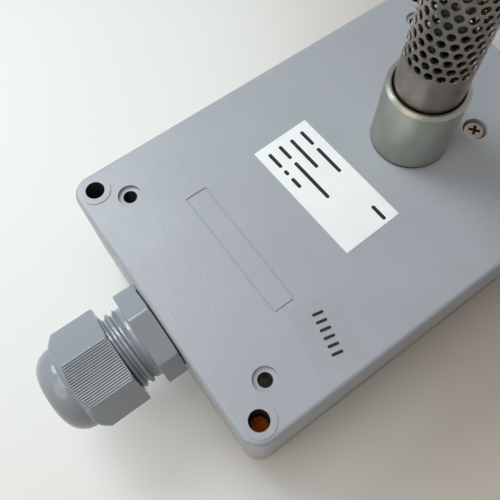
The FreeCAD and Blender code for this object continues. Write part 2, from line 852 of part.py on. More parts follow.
makers = {
    "housing_base": make_housing_base,
    "housing_lid": make_housing_lid,
    "lid_seal": make_lid_seal,
    "lid_screws": make_lid_screws,
    "rear_screws": make_rear_screws,
    "probe_sleeve": make_probe_sleeve,
    "sleeve_nut": make_sleeve_nut,
    "filter_tube": make_filter_tube,
    "filter_cap": make_filter_cap,
    "sensor_carrier": make_sensor_carrier,
    "humidity_sensor": make_humidity_sensor,
    "temperature_sensor": make_temperature_sensor,
    "sensor_socket": make_sensor_socket,
    "main_board": make_main_board,
    "board_spacers": make_board_spacers,
    "board_screws": make_board_screws,
    "terminal_block": make_terminal_block,
    "terminal_screws": make_terminal_screws,
    "capacitors": make_capacitors,
    "circuit_chips": make_circuit_chips,
    "gland_washer": make_gland_washer,
    "gland_body": make_gland_body,
    "gland_locknut": make_gland_locknut,
    "gland_nut": make_gland_nut,
    "gland_claw": make_gland_claw,
    "gland_seal": make_gland_seal,
    "rating_label": make_rating_label,
    "clear_sticker": make_clear_sticker,
}

os.makedirs("parts", exist_ok=True)
for node, maker in makers.items():
    maker().exportStep(os.path.join("parts", node + ".step"))
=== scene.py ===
import bpy
import numpy as np
from bpy.props import FloatProperty, FloatVectorProperty, IntProperty, PointerProperty
from mathutils import Matrix, Vector


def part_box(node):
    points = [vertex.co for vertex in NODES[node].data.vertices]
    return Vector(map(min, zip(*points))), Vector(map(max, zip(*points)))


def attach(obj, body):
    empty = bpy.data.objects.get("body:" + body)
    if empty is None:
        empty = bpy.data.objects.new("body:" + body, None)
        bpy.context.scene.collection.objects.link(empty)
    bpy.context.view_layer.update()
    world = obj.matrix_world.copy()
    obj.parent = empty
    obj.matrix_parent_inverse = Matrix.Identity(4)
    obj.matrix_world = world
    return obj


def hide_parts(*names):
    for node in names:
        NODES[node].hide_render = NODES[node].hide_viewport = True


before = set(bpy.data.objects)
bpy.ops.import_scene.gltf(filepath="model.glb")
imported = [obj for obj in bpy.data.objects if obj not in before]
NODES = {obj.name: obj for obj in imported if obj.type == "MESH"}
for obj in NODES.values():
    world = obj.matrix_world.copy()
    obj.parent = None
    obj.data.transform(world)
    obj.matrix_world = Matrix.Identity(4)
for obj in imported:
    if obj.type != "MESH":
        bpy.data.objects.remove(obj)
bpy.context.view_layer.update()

bl_info = {
    "name": "Humidity transmitter",
    "version": (1, 0, 0),
    "blender": (4, 5, 0),
    "location": "3D View > Sidebar > Transmitter",
    "description": "Skins, finishes and stage of a temperature and humidity transmitter",
    "category": "Object",
}

HOUSING = "housing"
GLAND_CAP = "gland_cap"

# Distances over which one tone gives way to the next, across a hole's edge and up a wall
HOLE_FADE = 0.00004
LEVEL_FADE = 0.0001

# Range in which nearly all values of a noise texture lie
NOISE_LOW, NOISE_HIGH = 0.3, 0.7

# Points of the filter tube are compared in tenths of a micrometre before they are joined
MERGE_SCALE = 1e7

# Edges that bend more than this stay sharp
SHARP_BEND = np.radians(40.0)

# Colour sockets of the Mix node: the two inputs and the output
MIX_FIRST, MIX_SECOND, MIX_RESULT = 6, 7, 2

SENSOR_WIDTH_MM = 36.0

MILLIMETRE = 0.001

# Bars on the label in millimetres: place across the label, then the two ends along it
LABEL_BARS_MM = (
    (5.3, 15.5, 10.4), (5.3, 8.9, -0.1), (1.6, 15.2, 4.5), (-2.0, 15.5, 10.7), (-2.0, 9.2, -3.9),
    (-5.6, 15.3, 10.2), (-5.6, 9.0, 7.4), (-5.6, 6.1, 2.7), (4.8, -12.3, -17.0),
)

# Lamps: name, place, point that it is aimed at, diameter, share of the lamp power, tint
LAMPS = (
    ("overhead_lamp", (-0.15, 0.05, 0.60), (-0.03, 0.0, 0.03), 0.40, 0.78, (0.88, 0.93, 1.0)),
    ("key_lamp", (-0.05, 0.23, 0.40), (-0.05, 0.02, 0.04), 0.14, 0.46, (1.0, 1.0, 0.95)),
    ("left_lamp", (-0.13, 0.22, 0.24), (-0.06, 0.03, 0.03), 0.15, 0.42, (0.82, 0.93, 1.0)),
    ("warm_lamp", (-0.40, -0.06, 0.42), (-0.03, 0.0, 0.03), 0.40, 0.75, (1.0, 0.86, 0.70)),
)


def span(node, axis):
    """Lowest and highest coordinate of a CAD node along one axis, in metres."""
    low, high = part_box(node)
    return low[axis], high[axis]


def length(name, description, default):
    """Property for a length in metres."""
    return FloatProperty(name=name, description=description, default=default, unit="LENGTH")


def rotation(name, description, degrees):
    """Property for an angle, whose default is given in degrees."""
    return FloatProperty(name=name, description=description, default=np.radians(degrees),
                         subtype="ANGLE")


def amount(name, description, default, least=1):
    """Property for a whole number of things."""
    return IntProperty(name=name, description=description, default=default, min=least)


def colour(name, description, default):
    """Property for a colour."""
    return FloatVectorProperty(name=name, description=description, default=default,
                               subtype="COLOR", size=3, min=0.0, max=1.0)


def direction(name, description, default, subtype="DIRECTION"):
    """Property for a direction, or for a place."""
    return FloatVectorProperty(name=name, description=description, default=default,
                               subtype=subtype, size=3)


class CaseSizes(bpy.types.PropertyGroup):
    """Holes and rear screws of the case, by their distances from its middle."""

    corner_x: length("Corner hole X", "Distance of the corner holes along the case", 0.0548)
    corner_y: length("Corner hole Y", "Distance of the corner holes across the case", 0.0348)
    corner_radius: length("Corner hole radius", "Radius of the corner holes", 0.00245)
    wall_x: length("Wall hole X", "Distance of the wall holes along the case", 0.0485)
    wall_y: length("Wall hole Y", "Distance of the wall holes across the case", 0.0285)
    wall_radius: length("Wall hole radius", "Radius of the wall holes", 0.0018)
    screw_x: length("Screw X", "Distance of the rear screws along the case", 0.035)
    screw_y: length("Screw Y", "Distance of the rear screws across the case", 0.0087)
    recess: length("Recess", "Reach of the cross recess from a screw's axis", 0.0017)


class SleeveSizes(bpy.types.PropertyGroup):
    """Satin sleeve that holds the filter tube."""

    radius: length("Radius", "Outer radius of the sleeve", 0.010)
    neck_radius: length("Neck radius", "Radius of the neck in the rear wall", 0.0089)
    neck_length: length("Neck length", "Length of the neck", 0.008)
    bore: length("Bore", "Radius of the passage under the tube", 0.0065)
    play: length("Play", "Gap round the tube in the sleeve's mouth", 0.0002)
    rim_edge: length("Rim edge", "Broken outer edge of the rim", 0.0007)
    mouth_edge: length("Mouth edge", "Broken inner edge of the rim", 0.0003)
    foot_edge: length("Foot edge", "Broken edge on the rear face", 0.0004)
    rounding: length("Rounding", "Reach of the rounding at each corner", 0.00006)
    # Painted contact shadow at the sleeve's foot: its height above the rear face
    seam: length("Seam", "Height of the dark seam on the rear face", 0.0007)


class TubeSizes(bpy.types.PropertyGroup):
    """Perforated filter tube and the plug in its end."""

    axis_x: length("Axis X", "Where the probe stands along the case",
                   sum(span("filter_tube", 0)) / 2)
    axis_y: length("Axis Y", "Where the probe stands across the case",
                   sum(span("filter_tube", 1)) / 2)
    radius: length("Radius", "Outer radius of the tube", 0.00825)
    wall: length("Wall", "Thickness of the tube's sheet", 0.0008)
    foot: length("Foot", "Height of the tube's lower end", span("filter_tube", 2)[0])
    top: length("Top", "Height of the tube's upper end", span("filter_tube", 2)[1])
    end_edge: length("End edge", "Broken edges at the tube's ends", 0.0002)
    first_row: length("First row", "Height of the lowest row of holes", 0.0754)
    row_pitch: length("Row pitch", "Height between rows", 0.0023)
    rows: amount("Rows", "Rows of holes", 17)
    holes: amount("Holes", "Holes in a row", 19, 3)
    hole_sides: amount("Hole sides", "Sides of a hole, a multiple of eight", 24, 8)
    hole_radius: length("Hole radius", "Radius of a hole", 0.00095)
    hole_turn: rotation("Hole turn", "Turn of the first row", -4.6)
    lip: length("Lip", "Width of the rounded edge of a hole", 0.00012)
    plug_play: length("Plug play", "Gap round the plug in the tube", 0.0001)
    plug_centre: length("Plug centre", "Radius of the turning centre in the plug", 0.0004)
    plug_lead: length("Plug lead", "Rounding of the plug's inner end", 0.0005)
    plug_edge: length("Plug edge", "Rounding of the plug's outer end", 0.0012)
    plug_seat: length("Plug seat", "Rounding of the edge on the tube", 0.00012)
    plug_fine: length("Plug fine", "Rounding of the plug's other corners", 0.0001)


class GlandSizes(bpy.types.PropertyGroup):
    """Cable gland on the end wall."""

    axis_y: length("Axis Y", "Where the gland sits across the case", 0.0003)
    axis_z: length("Axis Z", "Height of the gland's axis", 0.0284)

    body_flat: length("Body flat", "Distance of the body's flats from the axis", 0.0115)
    body_corner: length("Body corner", "Turned radius of the body's corners", 0.0140)
    body_shoulder: length("Body shoulder", "Radius at which the body's corners slope", 0.0128)
    body_blend: length("Body blend", "Rounding of the body's corners", 0.0003)
    body_turn: rotation("Body turn", "Turn of the body's hexagon", 24.1)
    body_start: length("Body start", "Distance from the wall to the hexagon", 0.0004)
    body_end: length("Body end", "Distance from the wall to the hexagon's outer face", 0.006)
    body_bore: length("Body bore", "Radius of the passage", 0.0070)
    body_edge: length("Body edge", "Broken edges of the body", 0.0006)
    neck_radius: length("Neck radius", "Radius of the neck beside the hexagon", 0.0100)
    neck_length: length("Neck length", "Length of the neck", 0.0014)
    neck_fillet: length("Neck fillet", "Fillet between neck and hexagon", 0.0004)
    cup_radius: length("Cup radius", "Radius of the hollow that takes the claw", 0.0088)
    cup_depth: length("Cup depth", "Depth of the hollow that takes the claw", 0.010)
    cup_edge: length("Cup edge", "Broken edge of that hollow", 0.0002)

    entry_radius: length("Entry radius", "Crest radius of the thread in the wall", 0.0099)
    entry_depth: length("Entry depth", "Depth of the thread in the wall", 0.0006)
    entry_pitch: length("Entry pitch", "Pitch of the thread in the wall", 0.0015)
    entry_plain: length("Entry plain", "Plain part of the entry, through the wall", 0.003)
    thread_radius: length("Thread radius", "Crest radius of the nut's thread", 0.0104)
    thread_depth: length("Thread depth", "Depth of the nut's thread", 0.00095)
    thread_pitch: length("Thread pitch", "Travel of the nut in a turn", 0.002)
    thread_lead: length("Thread lead", "Length of the slope at the thread's start", 0.0005)
    thread_drop: length("Thread drop", "Depth of the slope at the thread's start", 0.0007)
    thread_fade: length("Thread fade", "Length in which a thread or rib runs out", 0.0008)
    thread_rise: length("Thread rise", "Length in which a thread reaches its depth", 0.001)

    plain_flat: length("Plain flat", "Distance of the nut's plain flats from the axis", 0.01135)
    ribbed_flat: length("Ribbed flat", "Distance of the nut's ribbed flats from the axis", 0.0125)
    nut_corner: length("Nut corner", "Turned radius of the nut's corners", 0.0142)
    nut_shoulder: length("Nut shoulder", "Radius at which the nut's corners slope", 0.0132)
    nut_blend: length("Nut blend", "Rounding of the nut's corners", 0.00022)
    nut_turn: rotation("Nut turn", "Turn of the nut's hexagon", 21.4)
    nut_length: length("Nut length", "Length of the nut's hexagon", 0.0135)
    nut_edge: length("Nut edge", "Broken edges of the nut", 0.0005)
    nut_play: length("Nut play", "Gap between the nut and the thread", 0.0003)
    scallop: length("Scallop", "Length in which the corners run out into the dome", 0.0023)
    dome_radius: length("Dome radius", "Radius at the foot of the dome", 0.0112)
    dome_round: length("Dome round", "Radius of the dome's rounding", 0.0058)
    mouth: length("Mouth", "Radius of the hole in the dome", 0.0065)
    mouth_lip: length("Mouth lip", "Width of the lip round that hole", 0.0002)
    mouth_drop: length("Mouth drop", "Depth of the lip round that hole", 0.00012)
    cone_end: length("Cone end", "Distance from the dome's foot to the end of the cone", 0.0007)
    rib_grooves: amount("Rib grooves", "Grooves on a ribbed flat", 19)
    rib_pitch: length("Rib pitch", "Distance between grooves", 0.00061)
    rib_depth: length("Rib groove depth", "Depth of a groove", 0.00045)
    soft_edge: length("Soft edge", "Rounding where turned and flat faces meet", 0.0001)


class SheetSizes(bpy.types.PropertyGroup):
    """Label, clear film and the plain bars on them."""

    label_x: length("Label X", "Middle of the label along the case", -0.007)
    label_y: length("Label Y", "Middle of the label across the case", 0.0021)
    label_turn: rotation("Label turn", "Turn of the label", 2.1)
    film_x: length("Film X", "Middle of the film along the case", -0.031)
    film_y: length("Film Y", "Middle of the film across the case", -0.0285)
    film_turn: rotation("Film turn", "Turn of the film", -13.0)
    film_width: length("Film width", "Width of the film", 0.0124)
    film_length: length("Film length", "Length of the film", 0.017)
    film_corner: length("Film corner", "Radius of the film's corners", 0.0008)
    film_gap: length("Film gap", "Gap between the film and the rear face", 0.00001)
    bar: length("Bar", "Width of a bar on the label", 0.001)
    bar_corner: length("Bar corner", "Radius at the ends of the label's bars", 0.00045)
    film_bars: amount("Film bars", "Bars on the film", 6)
    film_pitch: length("Film bar pitch", "Distance between the film's bars", 0.002)
    film_bar: length("Film bar", "Width of a bar on the film", 0.0007)
    film_bar_length: length("Film bar length", "Length of a bar on the film", 0.0028)
    film_bar_corner: length("Film bar corner", "Radius at the ends of the film's bars", 0.0003)
    ink: length("Ink", "Thickness of the bars", 0.00002)


class FinishColours(bpy.types.PropertyGroup):
    """Main colours of the finishes."""

    case: colour("Case", "Moulded base", (0.358, 0.390, 0.430))
    lid: colour("Lid", "Tint of the clear lid", (0.55, 0.56, 0.54))
    seal: colour("Seal", "Cord seal of the lid", (0.03, 0.03, 0.03))
    gland: colour("Gland", "Gland plastic", (0.272, 0.300, 0.340))
    gland_rubber: colour("Gland rubber", "Washer and seal of the gland", (0.022, 0.022, 0.024))
    sleeve: colour("Sleeve", "Satin sleeve", (0.397, 0.399, 0.349))
    tube: colour("Tube", "Filter tube and its cap", (0.258, 0.226, 0.203))
    screw: colour("Screw", "Cross-recess screws", (0.265, 0.218, 0.176))
    screw_end: colour("Screw end", "Ends of the lid screws", (0.15, 0.027, 0.004))
    spacer: colour("Spacer", "Spacers under the board", (0.62, 0.42, 0.18))
    label: colour("Label", "Label face", (0.875, 0.93, 0.945))
    film: colour("Film", "Tint of the clear film", (0.62, 0.66, 0.70))
    ink: colour("Ink", "Bars on label and film", (0.012, 0.013, 0.015))
    board: colour("Board", "Solder mask of the boards", (0.008, 0.055, 0.025))
    black: colour("Black", "Socket, chips and temperature sensor", (0.018, 0.018, 0.019))
    terminal: colour("Terminal", "Terminal block", (0.02, 0.13, 0.05))
    white: colour("White", "Humidity sensor", (0.72, 0.72, 0.70))
    capacitor: colour("Capacitor", "Capacitor sleeves", (0.02, 0.025, 0.045))
    floor: colour("Floor", "Floor under the part, on its bright side", (0.80, 0.82, 0.80))
    floor_dim: colour("Dim floor", "Floor on its dim side", (0.645, 0.605, 0.565))
    floor_glow: colour("Floor glow", "What the bright side adds for the eye", (0.92, 0.94, 0.91))
    backdrop: colour("Backdrop", "Pale backdrop round the floor", (0.70, 0.71, 0.69))
    sky_low: colour("Low sky", "Soft light from the horizon", (0.30, 0.27, 0.25))
    sky_high: colour("High sky", "Soft light from above", (1.0, 0.93, 0.87))


class StageSizes(bpy.types.PropertyGroup):
    """Camera, lamps, soft light and floor."""

    eye: direction("Eye", "Place of the camera", (-0.06424, -0.04758, 0.17142), "TRANSLATION")
    look: direction("Look", "Way the camera looks", (0.22476, 0.33058, -0.91662))
    right: direction("Right", "Right side of the picture", (0.80765, -0.58949, -0.01456))
    lens: FloatProperty(name="Lens", description="Focal length on a 36 mm sensor", default=41.67,
                        subtype="DISTANCE_CAMERA")
    clip_start: length("Clip start", "Nearest distance that the camera shows", 0.005)
    lamp_power: FloatProperty(name="Lamp power", description="Power that the lamps have shares of",
                              default=1.0, unit="POWER")
    sky: FloatProperty(name="Sky", description="Strength of the soft light all round", default=0.22)
    sky_way: direction("Sky way", "Way to the brightest soft light", (0.0, -0.25, 0.97))
    floor_reach: length("Floor reach", "Distance from the middle to the floor's edges", 30.0)
    floor_gap: length("Floor gap", "Gap between the floor and the part", 0.00005)
    floor_lift: FloatProperty(name="Floor lift", description="Share of the glow on the bright side",
                              default=0.2, min=0.0, max=1.0, subtype="FACTOR")
    floor_bright: direction("Floor bright", "Way to the floor's bright side", (-0.81, 0.59, 0.0))
    floor_drift: length("Floor drift", "Half the distance from the dim to the bright side", 0.05)
    floor_open: length("Floor open", "Distance from the case at which the glow is whole", 0.02)
    floor_near: length("Floor near", "Distance at which the floor starts to fade", 0.085)
    floor_far: length("Floor far", "Distance at which the floor has become the backdrop", 0.32)


class TransmitterSettings(bpy.types.PropertyGroup):
    """All settings of the transmitter."""

    case: PointerProperty(type=CaseSizes)
    sleeve: PointerProperty(type=SleeveSizes)
    tube: PointerProperty(type=TubeSizes)
    gland: PointerProperty(type=GlandSizes)
    sheet: PointerProperty(type=SheetSizes)
    finish: PointerProperty(type=FinishColours)
    stage: PointerProperty(type=StageSizes)


def settings():
    """Settings of the transmitter in the present scene."""
    return bpy.context.scene.transmitter


def ring_quads(rows, columns, closed=False):
    """Quads between rings of points, as index rows; when closed, the last ring joins the first."""
    index = np.arange(rows * columns).reshape(rows, columns)
    if closed:
        index = np.concatenate([index, index[:1]])
    index = np.concatenate([index, index[:, :1]], axis=1)
    cells = (index[:-1, :-1], index[1:, :-1], index[1:, 1:], index[:-1, 1:])
    return np.stack(cells, axis=-1).reshape(-1, 4)


def add_piece(name, points, faces, body):
    """Mesh object at the origin from points in metres, smooth but for its sharp edges."""
    mesh = bpy.data.meshes.new(name)
    mesh.from_pydata(np.asarray(points).reshape(-1, 3), [], faces)
    mesh.polygons.foreach_set("use_smooth", np.ones(len(mesh.polygons), bool))
    mesh.set_sharp_from_angle(angle=SHARP_BEND)
    mesh.update()
    if mesh.validate():
        raise RuntimeError(name + " has faces that don't close")
    piece = bpy.data.objects.new(name, mesh)
    bpy.context.scene.collection.objects.link(piece)
    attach(piece, body)
    return piece


def finish_piece(piece, material, slot, *nodes):
    """Gives a piece its material and lets it stand for CAD nodes. The slot is not used."""
    piece.data.materials.append(material)
    if nodes:
        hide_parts(*nodes)


def dress(material, *nodes):
    """Puts one material on CAD nodes."""
    for node in nodes:
        slots = NODES[node].data.materials
        slots.clear()
        slots.append(material)


def softened(corners, reach, steps=7):
    """Profile whose corners are replaced by parabolas.

    Each starts and ends at its reach from the corner P, at A and B on the two sides, and runs
    through (1-s)^2 A + 2s(1-s) P + s^2 B.
    """
    corner = np.asarray(corners, float)
    before = np.roll(corner, 1, axis=0) - corner
    after = np.roll(corner, -1, axis=0) - corner
    reach = np.broadcast_to(reach, len(corner))[:, None]
    start = corner + before / np.linalg.norm(before, axis=1, keepdims=True) * reach
    finish = corner + after / np.linalg.norm(after, axis=1, keepdims=True) * reach
    s = np.linspace(0.0, 1.0, steps)[None, :, None]
    curve = ((1 - s) ** 2 * start[:, None] + 2 * s * (1 - s) * corner[:, None]
             + s ** 2 * finish[:, None])
    return curve.reshape(-1, 2)


def on_probe(radius, around, height):
    """Points round the probe's upright axis: P = (x + r cos t, y + r sin t, h)."""
    tube = settings().tube
    radius, around, height = np.broadcast_arrays(radius, around, height)
    return np.stack([tube.axis_x + radius * np.cos(around), tube.axis_y + radius * np.sin(around),
                     height], axis=-1)


def turned_upright(profile, segments):
    """Closed profile of (radius, height) turned about the probe's axis, as points and faces."""
    around = np.linspace(0.0, 2 * np.pi, segments, endpoint=False)
    points = on_probe(profile[:, 0, None], around, profile[:, 1, None])
    return points, ring_quads(len(profile), segments, closed=True)


def about_gland(along, radius, angle):
    """Points round the gland's axis: P = (a, y + r cos t, z + r sin t)."""
    gland = settings().gland
    along, radius, angle = np.broadcast_arrays(along, radius, angle)
    return np.stack([along, gland.axis_y + radius * np.cos(angle),
                     gland.axis_z + radius * np.sin(angle)], axis=-1)


def soft_min(a, b, width):
    """Smaller of two values, with the crossing rounded over a width w.

    It is half of a + b - sqrt((a - b)^2 + w^2).
    """
    return 0.5 * (a + b - np.sqrt((a - b) ** 2 + width ** 2))


def flats_radius(angle, even, odd, turn, blend):
    """Distance from the axis to six flats, at an angle.

    A flat's distance along the ray is d / cos(angle from the flat's middle), where the flats lie
    at d = even and d = odd by turns. The two nearest are blended into a round corner.
    """
    least_cosine = 0.05
    face = np.arange(6)[:, None]
    from_middle = np.ravel(angle) - (turn + np.pi / 6 + np.pi / 3 * face)
    flats = np.where(face % 2, odd, even) / np.maximum(np.cos(from_middle), least_cosine)
    nearest = np.sort(flats, axis=0)
    return soft_min(nearest[0], nearest[1], blend)[None, :]


def smooth_step(low, high, value):
    """0 below low, 1 above high, and 3t^2 - 2t^3 between."""
    t = np.clip((value - low) / (high - low), 0.0, 1.0)
    return t * t * (3 - 2 * t)


def spaced(points, counts):
    """Rows of (along, radius) values: each straight step between points is cut into a count."""
    points = np.asarray(points, float)
    at = np.concatenate([[0], np.cumsum(counts)])
    steps = np.arange(at[-1] + 1)
    return np.stack([np.interp(steps, at, column) for column in points.T], axis=1)


def thread_height(along, angle, pitch):
    """Height of a right-hand thread from 0 at the root to 1 at the crest.

    The crest runs along a helix: it moves one pitch along the axis in a turn. The flank rises by a
    smooth step from a root to a crest that each take a fixed share of the half pitch.
    """
    root_share, crest_share = 0.22, 0.72
    phase = np.mod(along / pitch - angle / (2 * np.pi), 1.0)
    return smooth_step(root_share, crest_share, np.abs(2 * phase - 1))


def sheets(places, corner, low, high, x, y, turn):
    """Flat plates with round corners on a turned sheet.

    Each place is (across, along, width, length) in the sheet's own axes. An outline is the four
    corner centres moved out by the corner radius r, so its points are
    (sign(cos t) (w/2 - r) + r cos t, sign(sin t) (l/2 - r) + r sin t).
    """
    sides = 24
    across, along, width, span_along = np.asarray(places, float).T[:, :, None]
    angle = (np.arange(sides)[None, :] + 0.5) * 2 * np.pi / sides
    flat_x = across + np.sign(np.cos(angle)) * (width / 2 - corner) + corner * np.cos(angle)
    flat_y = along + np.sign(np.sin(angle)) * (span_along / 2 - corner) + corner * np.sin(angle)
    cos, sin = np.cos(turn), np.sin(turn)
    outline = np.stack([x + cos * flat_x - sin * flat_y, y + sin * flat_x + cos * flat_y], axis=-1)
    levels = np.array([low, high])[None, :, None, None]
    points = np.concatenate([np.broadcast_to(outline[:, None], (len(places), 2, sides, 2)),
                             np.broadcast_to(levels, (len(places), 2, sides, 1))], axis=-1)
    walls = ring_quads(2, sides)[:, ::-1]
    ring = np.arange(sides)
    shift = np.arange(len(places))[:, None] * 2 * sides
    lids = np.concatenate([ring[::-1] + shift, ring + sides + shift])
    quads = (walls[None] + shift[:, :, None]).reshape(-1, 4)
    return points.reshape(-1, 3), quads.tolist() + lids.tolist()


def add_node(tree, kind, inputs=(), **values):
    """New node; each input, by name or number, is linked from an output or set to a value."""
    made = tree.nodes.new(kind)
    for key, value in values.items():
        setattr(made, key, value)
    for socket, source in inputs:
        if hasattr(source, "is_linked"):
            tree.links.new(source, made.inputs[socket])
        else:
            made.inputs[socket].default_value = source
    return made


def seen_rays(tree):
    """1 for rays from the camera, off a mirror or through glass, and 0 for rays of soft light."""
    path = add_node(tree, "ShaderNodeLightPath").outputs
    seen = path["Is Camera Ray"]
    for kind in ("Is Glossy Ray", "Is Transmission Ray"):
        seen = add_node(tree, "ShaderNodeMath", [(0, seen), (1, path[kind])],
                        operation="MAXIMUM").outputs["Value"]
    return seen


def joined_surface(tree, share, first, second, output):
    """Mixes two shaders by a share into the tree's output."""
    blend = add_node(tree, "ShaderNodeMixShader", [("Fac", share), (1, first), (2, second)])
    tree.links.new(blend.outputs["Shader"], tree.nodes[output].inputs["Surface"])


class Finish:
    """Builder for one material: a main shader, Object coordinates and layers of noise."""

    def __init__(self, name, base, roughness, metallic=0.0, specular=0.5):
        self.material = bpy.data.materials.new(name)
        self.material.use_nodes = True
        self.tree = self.material.node_tree
        self.shader = self.tree.nodes["Principled BSDF"]
        self.set("Base Color", (*base, 1.0))
        self.set("Roughness", roughness)
        self.set("Metallic", metallic)
        self.set("Specular IOR Level", specular)
        self.place = self.tree.nodes.new("ShaderNodeTexCoord").outputs["Object"]
        self.relief = None

    def set(self, socket, value):
        """Sets a constant on the main shader."""
        self.shader.inputs[socket].default_value = value

    def node(self, kind, inputs=(), **values):
        """New node in the material's tree."""
        return add_node(self.tree, kind, inputs, **values)

    def math(self, operation, first, second):
        """Result of a sum or comparison of two values."""
        return self.node("ShaderNodeMath", [(0, first), (1, second)],
                         operation=operation).outputs["Value"]

    def vector(self, operation, output, *inputs):
        """Result of a sum on vectors."""
        return self.node("ShaderNodeVectorMath", enumerate(inputs),
                         operation=operation).outputs[output]

    def stretched(self, x, y, z):
        """Object coordinates multiplied along each axis."""
        return self.node("ShaderNodeMapping", [("Vector", self.place),
                                               ("Scale", (x, y, z))]).outputs["Vector"]

    def noise(self, scale, detail=2.0, place=None):
        """Smooth noise about 0.5, on Object coordinates unless a place is given."""
        inputs = [("Vector", place or self.place), ("Scale", scale), ("Detail", detail)]
        return self.node("ShaderNodeTexNoise", inputs).outputs["Fac"]

    def ranged(self, source, low, high, new_low=0.0, new_high=1.0, run="LINEAR"):
        """Value between low and high carried to a new range, in a straight or a smooth run."""
        inputs = [("Value", source), ("From Min", low), ("From Max", high), ("To Min", new_low),
                  ("To Max", new_high)]
        return self.node("ShaderNodeMapRange", inputs, interpolation_type=run).outputs["Result"]

    def clouds(self, scale, detail):
        """Noise spread out to the whole range from 0 to 1."""
        return self.ranged(self.noise(scale, detail), NOISE_LOW, NOISE_HIGH)

    def mixed(self, share, first, second):
        """Two colours mixed by a share; a colour may be a plain one or another mix."""
        first, second = (tint if hasattr(tint, "is_linked") else (*tint, 1.0)
                         for tint in (first, second))
        inputs = [("Factor", share), (MIX_FIRST, first), (MIX_SECOND, second)]
        return self.node("ShaderNodeMix", inputs, data_type="RGBA").outputs[MIX_RESULT]

    def paint(self, share, first, second):
        """Takes the base colour from two colours mixed by a share."""
        self.tree.links.new(self.mixed(share, first, second), self.shader.inputs["Base Color"])

    def over(self, share, tint):
        """Lays a colour over the present one by a share."""
        present = self.shader.inputs["Base Color"].links[0].from_socket
        self.paint(share, present, tint)

    def roughness_from(self, source, low, high):
        """Takes the roughness from noise, between two values."""
        self.tree.links.new(self.ranged(source, NOISE_LOW, NOISE_HIGH, low, high),
                            self.shader.inputs["Roughness"])

    def bump(self, source, depth):
        """Adds a layer of relief of a depth in metres over those before it."""
        made = self.node("ShaderNodeBump", [("Height", source), ("Distance", depth),
                                            ("Strength", 1.0)])
        if self.relief is not None:
            self.tree.links.new(self.relief, made.inputs["Normal"])
        self.relief = made.outputs["Normal"]
        self.tree.links.new(self.relief, self.shader.inputs["Normal"])

    def near_upright(self, x, y, radius):
        """1 within a radius of four upright lines, one in each quarter at the same X and Y."""
        folded = self.vector("ABSOLUTE", "Vector", self.stretched(1.0, 1.0, 0.0))
        away = self.vector("DISTANCE", "Value", folded, (x, y, 0.0))
        return self.ranged(away, radius, radius - HOLE_FADE)

    def level(self, start, end):
        """0 at the height start and 1 at the height end."""
        height = self.node("ShaderNodeSeparateXYZ", [(0, self.place)]).outputs["Z"]
        return self.ranged(height, start, end)

    def both(self, first, second):
        """Share where both shares are."""
        return self.math("MULTIPLY", first, second)

    def attribute(self, name):
        """Value that the mesh itself carries."""
        return self.node("ShaderNodeAttribute", attribute_name=name).outputs["Fac"]


def shade(base, factor):
    """Colour made darker or lighter by a factor."""
    return tuple(min(1.0, channel * factor) for channel in base)


def moulded_finish(name, base, roughness, grain, depth, speck=0.3):
    """Moulded plastic: fine spark-eroded grain, pale specks and faint clouding."""
    finish = Finish(name, base, roughness)
    specks = finish.ranged(finish.noise(scale=grain * 0.6), 0.35, 0.65, 0.0, speck)
    clouds = finish.clouds(scale=45.0, detail=4.0)
    tone = finish.mixed(clouds, shade(base, 0.965), shade(base, 1.035))
    finish.paint(specks, tone, shade(base, 1.09))
    finish.roughness_from(finish.noise(scale=260.0, detail=3.0), roughness * 0.92, roughness * 1.1)
    finish.bump(finish.noise(scale=grain, detail=3.0), depth)
    return finish


def metal_finish(name, base, roughness, marks, depth):
    """Satin metal: fine marks, given by how many there are along each axis, with clouded tone."""
    finish = Finish(name, base, roughness, metallic=1.0)
    drawn = finish.noise(scale=1.0, detail=3.0, place=finish.stretched(*marks))
    clouds = finish.clouds(scale=160.0, detail=3.0)
    tone = finish.mixed(clouds, shade(base, 0.9), shade(base, 1.1))
    finish.paint(finish.ranged(drawn, NOISE_LOW, NOISE_HIGH, 0.0, 0.35), tone, shade(base, 1.18))
    finish.roughness_from(drawn, roughness - 0.05, roughness + 0.08)
    finish.bump(drawn, depth)
    return finish


def clear_finish(name, tint, roughness, alpha):
    """Clear plastic: thin enough to see through, polished, with faint waviness."""
    finish = Finish(name, tint, roughness)
    finish.set("IOR", 1.55)
    finish.set("Alpha", alpha)
    finish.roughness_from(finish.noise(scale=300.0, detail=3.0), roughness, roughness + 0.05)
    finish.bump(finish.noise(scale=70.0), depth=0.00002)
    return finish


def rubber_finish(name, base):
    """Matt rubber with a little dust."""
    finish = Finish(name, base, roughness=0.72, specular=0.3)
    dust = finish.ranged(finish.noise(scale=420.0, detail=4.0), 0.4, 0.75)
    finish.paint(dust, base, shade(base, 1.8))
    finish.bump(finish.noise(scale=2400.0), depth=0.00002)
    return finish


def paper_finish(name, base):
    """Smooth paper with faint clouding."""
    finish = Finish(name, base, roughness=0.42)
    finish.paint(finish.clouds(scale=140.0, detail=3.0), shade(base, 0.975), shade(base, 1.02))
    finish.roughness_from(finish.noise(scale=700.0), 0.38, 0.5)
    finish.bump(finish.noise(scale=1800.0), depth=0.000004)
    return finish


def ink_finish(name, base):
    """Dry black ink, uneven in tone."""
    finish = Finish(name, base, roughness=0.6, specular=0.25)
    finish.paint(finish.clouds(scale=900.0, detail=3.0), base, shade(base, 1.7))
    finish.bump(finish.noise(scale=1500.0), depth=0.000003)
    return finish


